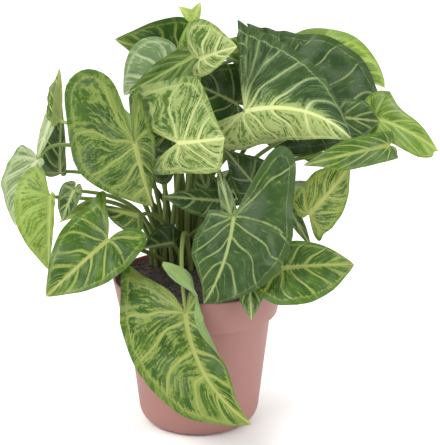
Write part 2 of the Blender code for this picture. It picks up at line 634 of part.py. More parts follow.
def drill(target, name, places, radius, sides, bottom, top):
    """Round holes at the given places, cut by one guide object."""
    points = []
    faces = []
    turn = np.linspace(0, 2 * math.pi, sides, endpoint=False)
    for x, y in places:
        start = len(points)
        for height in (bottom, top):
            points += [(x + radius * math.cos(a), y + radius * math.sin(a), height) for a in turn]
        faces.append([start + k for k in range(sides)][::-1])
        faces.append([start + sides + k for k in range(sides)])
        for k in range(sides):
            n = (k + 1) % sides
            faces.append([start + k, start + n, start + sides + n, start + sides + k])
    cutter = mesh_object(name, points, faces)
    cutter.hide_render = True
    cutter.display_type = "WIRE"
    cut = target.modifiers.new("holes", "BOOLEAN")
    cut.operation = "DIFFERENCE"
    cut.object = cutter
    cut.solver = "EXACT"


def build_pot():
    ledge = COLLAR_BOTTOM_HEIGHT + WALL
    outside = [(0, 0), (FOOT_RADIUS, 0), *foot_curve(0), (BODY_BOTTOM_RADIUS, FOOT_HEIGHT),
               (BODY_TOP_RADIUS, COLLAR_BOTTOM_HEIGHT), (COLLAR_BOTTOM_RADIUS, COLLAR_BOTTOM_HEIGHT),
               (RIM_RADIUS, RIM_HEIGHT - 1), (RIM_RADIUS - 0.4, RIM_HEIGHT)]
    inside = [(RIM_RADIUS - RIM_LIP, RIM_HEIGHT), (inner_radius(ledge), ledge),
              (BODY_TOP_RADIUS - WALL, ledge), (BODY_BOTTOM_RADIUS - WALL, FOOT_HEIGHT + 0.5),
              *foot_curve(WALL)[::-1], (FOOT_RADIUS - WALL, WALL), (0, WALL)]
    pot = turned("pot", outside + inside, POT_SIDES)
    angles = [2 * math.pi * k / DRAIN_HOLES for k in range(DRAIN_HOLES)]
    drains = [(DRAIN_RING * math.cos(a), DRAIN_RING * math.sin(a)) for a in angles]
    drill(pot, "drain_cutter", drains, DRAIN_RADIUS, 8, -5.0, 5.0)
    finish(pot, "pot")
    return pot


def build_soil(feet):
    """Fills the pot to its rim, one gap clear of the wall, with a hole for each petiole."""
    ledge = COLLAR_BOTTOM_HEIGHT + WALL
    foot = [(r - GAP, z + GAP) for r, z in foot_curve(WALL)]
    edge = inner_radius(SOIL_LEVEL) - GAP
    side = [(0, WALL + GAP), (FOOT_RADIUS - WALL - GAP, WALL + GAP), *foot,
            (BODY_BOTTOM_RADIUS - WALL - GAP, FOOT_HEIGHT + 0.5 + GAP),
            (BODY_TOP_RADIUS - WALL - GAP, ledge + GAP), (inner_radius(ledge) - GAP, ledge + GAP),
            (edge, SOIL_LEVEL)]
    top = [(edge * part, SOIL_LEVEL) for part in (0.85, 0.65, 0.45, 0.22)] + [(0, SOIL_LEVEL)]
    soil = turned("soil", side + top, POT_SIDES)
    for vertex in soil.data.vertices:
        x, y, z = np.array(vertex.co) / MM
        if z > SOIL_LEVEL - 0.01 and math.hypot(x, y) < edge - 1:
            vertex.co.z = soil_height(x, y) * MM
    drill(soil, "stem_hole_cutter", feet, FOOT_THICKNESS + GAP * 1.2, PETIOLE_SIDES, HOLE_FLOOR, 120.0)
    finish(soil, "soil")
    return soil


for leftover in list(bpy.data.objects):
    bpy.data.objects.remove(leftover)

FEET = foot_places()
BLADES = {leaf.name: Blade(leaf) for leaf in LEAVES}
PETIOLES = route_petioles(BLADES, FEET)
build_pot()
build_soil(list(FEET.values()))
for plant_leaf in LEAVES:
    if plant_leaf.part_of is None:
        build_leaf(plant_leaf, BLADES, PETIOLES[plant_leaf.name])
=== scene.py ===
"""Looks of the potted syngonium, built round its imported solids.

The plant is put together as it grew: the nursery pot, the soil in it, then every leaf, each an arrow
shaped blade on its own petiole. Sizes are in millimetres until they reach a mesh, in the solids' frame:
origin at the centre of the pot's foot, +Z up, front towards -Y.
"""
import itertools
import math
from dataclasses import dataclass, fields, replace

import bpy
import numpy as np
from mathutils.bvhtree import BVHTree
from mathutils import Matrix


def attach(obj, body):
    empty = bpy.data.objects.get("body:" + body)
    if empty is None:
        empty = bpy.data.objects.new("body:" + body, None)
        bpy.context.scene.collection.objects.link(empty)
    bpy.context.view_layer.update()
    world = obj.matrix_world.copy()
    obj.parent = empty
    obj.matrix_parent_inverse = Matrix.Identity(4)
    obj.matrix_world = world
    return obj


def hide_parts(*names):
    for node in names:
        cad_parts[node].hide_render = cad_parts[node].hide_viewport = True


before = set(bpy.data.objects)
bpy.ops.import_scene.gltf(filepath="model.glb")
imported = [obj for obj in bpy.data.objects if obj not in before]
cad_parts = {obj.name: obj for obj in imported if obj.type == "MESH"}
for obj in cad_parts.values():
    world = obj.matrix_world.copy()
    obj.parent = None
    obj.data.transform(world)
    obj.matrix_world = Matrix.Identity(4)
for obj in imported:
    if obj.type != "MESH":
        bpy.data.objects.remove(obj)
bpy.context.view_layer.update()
MM = 0.001

# Camera: the photograph's angle, found from the ellipses of the pot's rim and foot.
CAMERA_AT = (0.015, -1.340, 0.571)
CAMERA_TILT_DOWN = 17.6
CAMERA_LENS = 163.8
SENSOR_WIDTH = 36.0


def new_object(name, data):
    """An object made of the data and linked into the scene."""
    made = bpy.data.objects.new(name, data)
    bpy.context.scene.collection.objects.link(made)
    return made


camera = new_object("camera", bpy.data.cameras.new("camera"))
camera.data.lens = CAMERA_LENS
camera.data.sensor_width = SENSOR_WIDTH
camera.location = CAMERA_AT
camera.rotation_euler = (math.radians(90 - CAMERA_TILT_DOWN), 0, 0)
bpy.context.scene.camera = camera
bpy.context.scene.view_settings.view_transform = "Standard"

# Studio: white room light, a broad soft key from the upper left, a fill from the right and a top light.
world = bpy.data.worlds.new("studio")
world.use_nodes = True
world.node_tree.nodes["Background"].inputs["Color"].default_value = (1.0, 0.99, 0.97, 1)
world.node_tree.nodes["Background"].inputs["Strength"].default_value = 1.0
bpy.context.scene.world = world


def soft_light(name, place, target, size, watts, colour):
    """A square lamp of the given size in metres, turned to face the target."""
    lamp = new_object(name, bpy.data.lights.new(name, "AREA"))
    lamp.data.shape = "SQUARE"
    lamp.data.size = size
    lamp.data.energy = watts
    lamp.data.color = colour
    ahead = np.array(target) - np.array(place)
    lamp.location = place
    lamp.rotation_euler = (math.acos(-ahead[2] / np.linalg.norm(ahead)), 0,
                           math.atan2(ahead[1], ahead[0]) - math.pi / 2)


soft_light("key", (-0.9, -1.1, 1.5), (0, 0, 0.18), 0.9, 30, (1, 0.99, 0.96))
soft_light("fill", (1.3, -0.8, 0.8), (0, 0, 0.18), 1.0, 11, (0.95, 0.98, 1))
soft_light("top", (0.2, 0.5, 1.8), (0, 0, 0.2), 1.0, 14, (1, 1, 1))

# Floor: a pale seamless sheet, not part of the plant.
FLOOR_HALF = 8.0
FLOOR_WHITE = (0.93, 0.93, 0.93, 1)


class Nodes:
    """Adds shader nodes to one tree. An input takes a value or the socket of another node."""

    def __init__(self, tree):
        self.tree = tree

    def feed(self, node, **inputs):
        """Set or link inputs, given by name or, as i0, i1 and so on, by number."""
        for name, value in inputs.items():
            socket = node.inputs[int(name[1:]) if name[1:].isdigit() else name.replace("_", " ")]
            if isinstance(value, bpy.types.NodeSocket):
                self.tree.links.new(value, socket)
            else:
                socket.default_value = value

    def add(self, kind, options=None, **inputs):
        """A new node with its options set and its inputs fed."""
        node = self.tree.nodes.new("ShaderNode" + kind)
        for name, value in (options or {}).items():
            setattr(node, name, value)
        self.feed(node, **inputs)
        return node

    def maths(self, operation, *values):
        """One operation on one, two or three values."""
        inputs = {f"i{k}": value for k, value in enumerate(values)}
        return self.add("Math", {"operation": operation}, **inputs).outputs[0]

    def times(self, first, second):
        """first * second"""
        return self.maths("MULTIPLY", first, second)

    def scaled(self, value, factor, offset):
        """value * factor + offset"""
        return self.maths("MULTIPLY_ADD", value, factor, offset)

    def limited(self, value):
        """The value held between 0 and 1."""
        return self.add("Clamp", i0=value).outputs[0]

    def ramp(self, value, start, end, low=0.0, high=1.0, shape="LINEAR"):
        """Low where the value is at the start, high where it is at the end."""
        options = {"interpolation_type": shape}
        return self.add("MapRange", options, i0=value, i1=start, i2=end, i3=low, i4=high).outputs[0]

    def noise(self, place, scale, detail, roughness=0.5, distortion=0.0):
        """Outputs of a noise texture at the place."""
        return self.add("TexNoise", Vector=place, Scale=scale, Detail=detail, Roughness=roughness,
                        Distortion=distortion).outputs

    def mixed(self, share, first, second):
        """The first colour, with that share of the second."""
        return self.add("Mix", {"data_type": "RGBA"}, i0=share, i6=first, i7=second).outputs[2]

    def bump(self, height, strength, distance):
        """Normal of a surface with that relief."""
        return self.add("Bump", Height=height, Strength=strength, Distance=distance).outputs[0]


def new_paint(name):
    """A material, what adds nodes to it, and its shader."""
    paint = bpy.data.materials.new(name)
    paint.use_nodes = True
    return paint, Nodes(paint.node_tree), paint.node_tree.nodes["Principled BSDF"]


floor_mesh = bpy.data.meshes.new("floor")
floor_corners = [(a * FLOOR_HALF, b * FLOOR_HALF, 0) for a, b in ((-1, -1), (1, -1), (1, 1), (-1, 1))]
floor_mesh.from_pydata(floor_corners, [], [(0, 1, 2, 3)])
floor_paint, floor_nodes, floor_shader = new_paint("floor_paint")
floor_nodes.feed(floor_shader, Base_Color=FLOOR_WHITE, Roughness=0.9)
floor_mesh.materials.append(floor_paint)
new_object("floor", floor_mesh)

# Pot: a 12 cm nursery pot, moulded in matte terracotta coloured plastic, with a deep collar, a rolled rim
# and a ring of drain holes in its foot. It is one turned shell.
RIM_RADIUS = 60.0
RIM_HEIGHT = 107.0
COLLAR_BOTTOM_RADIUS = 55.3
COLLAR_BOTTOM_HEIGHT = 82.4
COLLAR_ROUND = 0.9
BODY_TOP_RADIUS = 50.6
BODY_BOTTOM_RADIUS = 42.6
FOOT_HEIGHT = 15.0
FOOT_RADIUS = 30.0
WALL = 1.5
RIM_LIP = 1.6
RIM_ROUND = 0.8
RIM_DEPTH = 4.0
DRAIN_HOLES = 6
DRAIN_RING = 20.0
DRAIN_RADIUS = 3.5
DRAIN_SIDES = 24
DRILL_REACH = 5.0
POT_SIDES = 144
SHARP_ANGLE = 42
POT_PINK = (0.268, 0.119, 0.102, 1)
POT_DUST = (0.300, 0.142, 0.124, 1)


def mesh_piece(name, points, faces, paint, slot, *nodes):
    """A new piece from points in millimetres, riding on the root body and standing for the solid nodes."""
    mesh = bpy.data.meshes.new(name)
    mesh.from_pydata((np.asarray(points) * MM).tolist(), [], faces)
    mesh.validate()
    mesh.materials.append(paint)
    mesh.shade_smooth()
    mesh.set_sharp_from_angle(angle=math.radians(SHARP_ANGLE))
    piece = new_object(name, mesh)
    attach(piece, "root")
    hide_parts(*nodes)
    return piece


def arc(centre, radius, start, end, count):
    """Points on a circle in the radius and height plane, from one angle in degrees to another."""
    angle = np.radians(np.linspace(start, end, count))
    return [(centre[0] + radius * c, centre[1] + radius * s) for c, s in zip(np.cos(angle), np.sin(angle))]


def lofted(rings, first, last):
    """Closed surface over rings of points and a pole at each end: points, quads and end triangles."""
    count, sides = rings.shape[:2]
    points = np.vstack([[first], rings.reshape(-1, 3), [last]])
    index = 1 + np.arange(count * sides).reshape(count, sides)
    after = np.roll(index, -1, axis=1)
    walls = np.stack([index[:-1], after[:-1], after[1:], index[1:]], -1).reshape(-1, 4)
    ends = np.vstack([np.stack([np.zeros(sides, int), after[0], index[0]], -1),
                      np.stack([np.full(sides, len(points) - 1), index[-1], after[-1]], -1)])
    return points, walls, ends


def turned(profile, sides):
    """Closed surface of a profile carried once round Z: each ring is the profile point times the circle."""
    profile = np.array(profile, float)
    turn = np.linspace(0, 2 * math.pi, sides, endpoint=False)
    circle = np.stack([np.cos(turn), np.sin(turn), np.ones(sides)], -1)
    rings = profile[1:-1, None, [0, 0, 1]] * circle
    points, walls, ends = lofted(rings, (0, 0, profile[0, 1]), (0, 0, profile[-1, 1]))
    return points, walls.tolist() + ends.tolist()


def foot_curve(inset):
    """Quarter round from the foot up to the wall, that far inside the pot's outer face."""
    start = FOOT_RADIUS - inset / 2
    swell = BODY_BOTTOM_RADIUS - FOOT_RADIUS - inset / 2
    return [(start + swell * math.sin(a), inset + (FOOT_HEIGHT - inset) * (1 - math.cos(a)))
            for a in np.radians(np.linspace(0, 90, 10))]


def pot_plastic():
    """Matte plastic: pink with soft clouds of paler dust, a faint moulded grain and turning lines."""
    paint, nodes, shader = new_paint("pot_plastic")
    place = nodes.add("TexCoord").outputs["Object"]
    clouds = nodes.noise(place, 38.0, 4.0, 0.6)["Fac"]
    grain = nodes.noise(place, 1600.0, 2.0)["Fac"]
    flattened = nodes.add("Mapping", Vector=place, Scale=(1.0, 1.0, 420.0)).outputs[0]
    lines = nodes.noise(flattened, 3.0, 2.0)["Fac"]
    nodes.feed(shader, Base_Color=nodes.mixed(nodes.ramp(clouds, 0.3, 0.8), POT_PINK, POT_DUST),
               Normal=nodes.bump(nodes.scaled(lines, 0.35, grain), 0.18, 0.0003),
               Roughness=nodes.ramp(clouds, 0.3, 0.7, 0.48, 0.62),
               Subsurface_Weight=0.08, Subsurface_Radius=(0.004, 0.0015, 0.001))
    return paint


ledge = COLLAR_BOTTOM_HEIGHT + WALL
flare = (RIM_RADIUS - COLLAR_BOTTOM_RADIUS) / (RIM_HEIGHT - COLLAR_BOTTOM_HEIGHT)
collar_edge = COLLAR_BOTTOM_RADIUS - COLLAR_ROUND
collar_foot = [(BODY_TOP_RADIUS, COLLAR_BOTTOM_HEIGHT - RIM_ROUND),
               (BODY_TOP_RADIUS + COLLAR_ROUND, COLLAR_BOTTOM_HEIGHT), (collar_edge, COLLAR_BOTTOM_HEIGHT),
               *arc((collar_edge, COLLAR_BOTTOM_HEIGHT + COLLAR_ROUND), COLLAR_ROUND, -60, 0, 3)]
rim = arc((RIM_RADIUS - RIM_ROUND, RIM_HEIGHT - RIM_ROUND), RIM_ROUND, 0, 180, 7)
inside = [(RIM_RADIUS - RIM_LIP - 0.2, RIM_HEIGHT - RIM_DEPTH), (COLLAR_BOTTOM_RADIUS - WALL, ledge),
          (BODY_TOP_RADIUS - WALL, ledge), (BODY_BOTTOM_RADIUS - WALL, FOOT_HEIGHT + 0.5),
          *foot_curve(WALL)[::-1]]
profile = [(0, 0), (FOOT_RADIUS - 1, 0), *foot_curve(0), *collar_foot, *rim, *inside, (0, WALL)]
pot = mesh_piece("plastic_pot", *turned(profile, POT_SIDES), pot_plastic(), "terracotta_plastic", "pot")

bit, bit_faces = turned([(0, -DRILL_REACH), (DRAIN_RADIUS, -DRILL_REACH), (DRAIN_RADIUS, DRILL_REACH),
                         (0, DRILL_REACH)], DRAIN_SIDES)
around = 2 * math.pi * np.arange(DRAIN_HOLES) / DRAIN_HOLES
holes = DRAIN_RING * np.stack([np.cos(around), np.sin(around), np.zeros(DRAIN_HOLES)], -1)
drill_mesh = bpy.data.meshes.new("drain_drill")
drill_mesh.from_pydata(((holes[:, None] + bit).reshape(-1, 3) * MM).tolist(), [],
                       [[i + k * len(bit) for i in face] for k in range(DRAIN_HOLES) for face in bit_faces])
drill = new_object("drain_drill", drill_mesh)
cut = pot.modifiers.new("drains", "BOOLEAN")
cut.operation = "DIFFERENCE"
cut.object = drill
pierced = bpy.data.meshes.new_from_object(pot.evaluated_get(bpy.context.evaluated_depsgraph_get()))
pot.modifiers.clear()
pot.data = pierced
bpy.data.objects.remove(drill)

# Soil: dark bark and peat, poured to just under the rim and mounded a little at the crown, with loose
# chips lying on it. It fills the pot and the petioles stand in it.
SOIL_LEVEL = 102.5
SOIL_SIDES = 180
SOIL_RINGS = 60
MOUND_HEIGHT = 6.0
CROWN = (-9.0, 34.0)
MOUND_SPREAD = (26.0, 18.0)
GAP = 0.3
LATTICE = 64
LUMP_HEIGHT = 1.1
LUMPS = ((1.0, 5.0, 3), (0.6, 2.1, 4), (0.3, 1.0, 5))
LUMPS_MEAN = 0.95
CHIPS = 520
CHIP_SMALLEST = (0.7, 0.5, 0.25)
CHIP_LARGEST = (2.4, 1.3, 0.7)
CHIP_WORN = 0.00018
SOIL_DARK = (0.038, 0.028, 0.028, 1)
SOIL_BROWN = (0.13, 0.075, 0.055, 1)


def soil_height(x, y):
    """Soil level, raised in a low mound round the crown: the level plus a two-way bell."""
    across = (x - CROWN[0]) / MOUND_SPREAD[0]
    deep = (y - CROWN[1]) / MOUND_SPREAD[1]
    return SOIL_LEVEL + MOUND_HEIGHT * np.exp(-across ** 2 - deep ** 2)


def crumbs(x, y, cell, seed):
    """Smooth random lumps: a seeded lattice of heights, blended between its corners by 3t^2 - 2t^3."""
    lattice = np.random.default_rng(seed).random((LATTICE, LATTICE))
    across, deep = x / cell, y / cell
    i, j = np.floor(across).astype(int), np.floor(deep).astype(int)
    s, t = across - i, deep - j
    s, t = s * s * (3 - 2 * s), t * t * (3 - 2 * t)
    left, right = i % LATTICE, (i + 1) % LATTICE
    near, far = (lattice[left, row % LATTICE] * (1 - s) + lattice[right, row % LATTICE] * s
                 for row in (j, j + 1))
    return near * (1 - t) + far * t


def swung(points, angle, first, second):
    """Points with two coordinates a and b turned by an angle, to a cos - b sin and a sin + b cos."""
    cos, sin = np.cos(angle)[:, None], np.sin(angle)[:, None]
    result = points.copy()
    result[..., first] = points[..., first] * cos - points[..., second] * sin
    result[..., second] = points[..., first] * sin + points[..., second] * cos
    return result


def soil_mix():
    """Bark and peat: near black with reddish brown bits in random cells, rough and pitted."""
    paint, nodes, shader = new_paint("soil_mix")
    place = nodes.add("TexCoord").outputs["Object"]
    bits = nodes.add("TexVoronoi", Vector=place, Scale=420.0).outputs
    tone = nodes.add("SeparateColor", i0=bits["Color"]).outputs[0]
    grime = nodes.noise(place, 900.0, 5.0, 0.7)["Fac"]
    share = nodes.times(nodes.ramp(tone, 0.55, 0.95), grime)
    relief = nodes.maths("ADD", bits["Distance"], grime)
    nodes.feed(shader, Base_Color=nodes.mixed(share, SOIL_DARK, SOIL_BROWN),
               Normal=nodes.bump(relief, 0.8, 0.0008), Roughness=0.92)
    return paint


soil_edge = RIM_RADIUS - flare * (RIM_HEIGHT - SOIL_LEVEL) - WALL - GAP
inner = [(r - GAP, z + GAP) for r, z in inside[:0:-1]]
top_rings = [(soil_edge * share, SOIL_LEVEL) for share in np.linspace(0.99, 0.01, SOIL_RINGS)]
soil_points, soil_faces = turned([(0, WALL + GAP), *inner, (soil_edge, SOIL_LEVEL - 0.6), *top_rings,
                                  (0, SOIL_LEVEL)], SOIL_SIDES)
on_top = soil_points[:, 2] > SOIL_LEVEL - 0.01
x, y = soil_points[on_top, 0], soil_points[on_top, 1]
lumps = sum(height * crumbs(x, y, cell, seed) for height, cell, seed in LUMPS) - LUMPS_MEAN
soil_points[on_top, 2] = soil_height(x, y) + LUMP_HEIGHT * lumps
soil_paint = soil_mix()
mesh_piece("soil_bed", soil_points, soil_faces, soil_paint, "potting_soil", "soil")

draw = np.random.default_rng(11)
corner = np.array(list(itertools.product((-1, 1), repeat=3)), float)
corner_faces = np.array([(0, 1, 3, 2), (4, 6, 7, 5), (0, 4, 5, 1), (2, 3, 7, 6), (0, 2, 6, 4), (1, 5, 7, 3)])
reach = soil_edge * np.sqrt(draw.random(CHIPS)) * 0.96
bearing = draw.random(CHIPS) * 2 * math.pi
size = draw.uniform(CHIP_SMALLEST, CHIP_LARGEST, (CHIPS, 3))
chip = corner * size[:, None] * draw.uniform(0.6, 1.0, (CHIPS, 8, 1))
spin, lean = draw.random(CHIPS) * 2 * math.pi, draw.normal(0, 0.35, CHIPS)
laid = swung(swung(chip, lean, 0, 2), spin, 0, 1)
chip_x, chip_y = reach * np.cos(bearing), reach * np.sin(bearing)
laid += np.stack([chip_x, chip_y, soil_height(chip_x, chip_y) + 0.3], -1)[:, None]
chip_faces = (corner_faces + np.arange(CHIPS)[:, None, None] * 8).reshape(-1, 4)
chips = mesh_piece("bark_chips", laid.reshape(-1, 3), chip_faces.tolist(), soil_paint, "potting_soil",
                   "soil")
soften = chips.modifiers.new("worn", "BEVEL")
soften.width = CHIP_WORN
soften.segments = 1

# Leaves: each is one grown piece, a thin arrow shaped blade on a long round petiole that stands in the
# soil at the crown. Young ones are pale, old ones dark, and the veins are pressed into the upper side.
HOLE_FLOOR = 90.0
FOOT_RINGS = (0.0, 8.5, 16.5, 25.0)
RING_FLATNESS = 0.66
FOOT_THICKNESS = 1.9
NECK_THICKNESS = 1.2
RIB_THICKNESS = 0.5
STRAIGHT_FOOT = 4.0
PETIOLE_POINTS = 8
CLEARANCE = 0.8
RIM_ROOM = 3.0
RIM_ABOVE = 2.5
CROWN_ROOM = 6.0

# Bends that a petiole may take, as shares of its span: how far it leans aside, rises first and reaches out.
LEANS = (0.0, 0.1, -0.1, 0.2, -0.2, 0.35, -0.35, 0.5, -0.5)
RISES = (1.0, 0.65, 0.35, 1.4)
REACHES = (1.0, 0.6, 1.5)
BLADE_THICKNESS = 0.8
RIB_REACH = 0.16
SMALL_LEAF = {"rows": (2, 4), "across": 1}


class Halves(tuple):
    """A value for the left and one for the right half of a blade, seen tip up from the top side."""


@dataclass
class Leaf:
    """One blade. Where a field of halves is given one number, it stands for both halves.

    Facing gives the azimuth and elevation of its top side, ring the ring of petioles that it grows in, and
    rows and across how finely its solid is divided, by which the petioles find their way past it.
    Cream is how far the pale colour spreads from the veins, veins how strong the lateral ones are, shade
    the brightness of the skin and brown its petiole's.
    Neck is how much of its width a lobe loses an eighth of the blade's length behind the joint."""
    name: str
    joint: tuple
    tip: tuple
    facing: tuple
    tone: str
    ring: int = 2
    width: Halves = 30
    lobe: Halves = 25
    lobe_out: Halves = 0.45
    lobe_round: Halves = 0.24
    sinus: Halves = 0.12
    shoulder: Halves = 0.94
    horned: Halves = 0
    widest: Halves = 0.12
    waist: Halves = 0
    fullness: Halves = 0
    arch: float = 20
    sway: float = 0
    fold: Halves = 15
    tip_fold: Halves = None
    curl: Halves = -10
    tip_curl: Halves = None
    crease: Halves = 0
    roll: Halves = 1
    droop: float = 10
    wave: float = 1.0
    rows: tuple = (3, 6)
    across: int = 2
    arrive: tuple = None
    rise: float = 0.45
    reach: float = 0.35
    part_of: str = None
    cream: Halves = 0.3
    veins: float = 1.0
    shade: Halves = 1
    brown: float = 0.15
    neck: Halves = 0

    def __post_init__(self):
        for field in fields(self):
            value = getattr(self, field.name)
            if field.type is Halves and isinstance(value, (int, float)):
                setattr(self, field.name, (value, value))


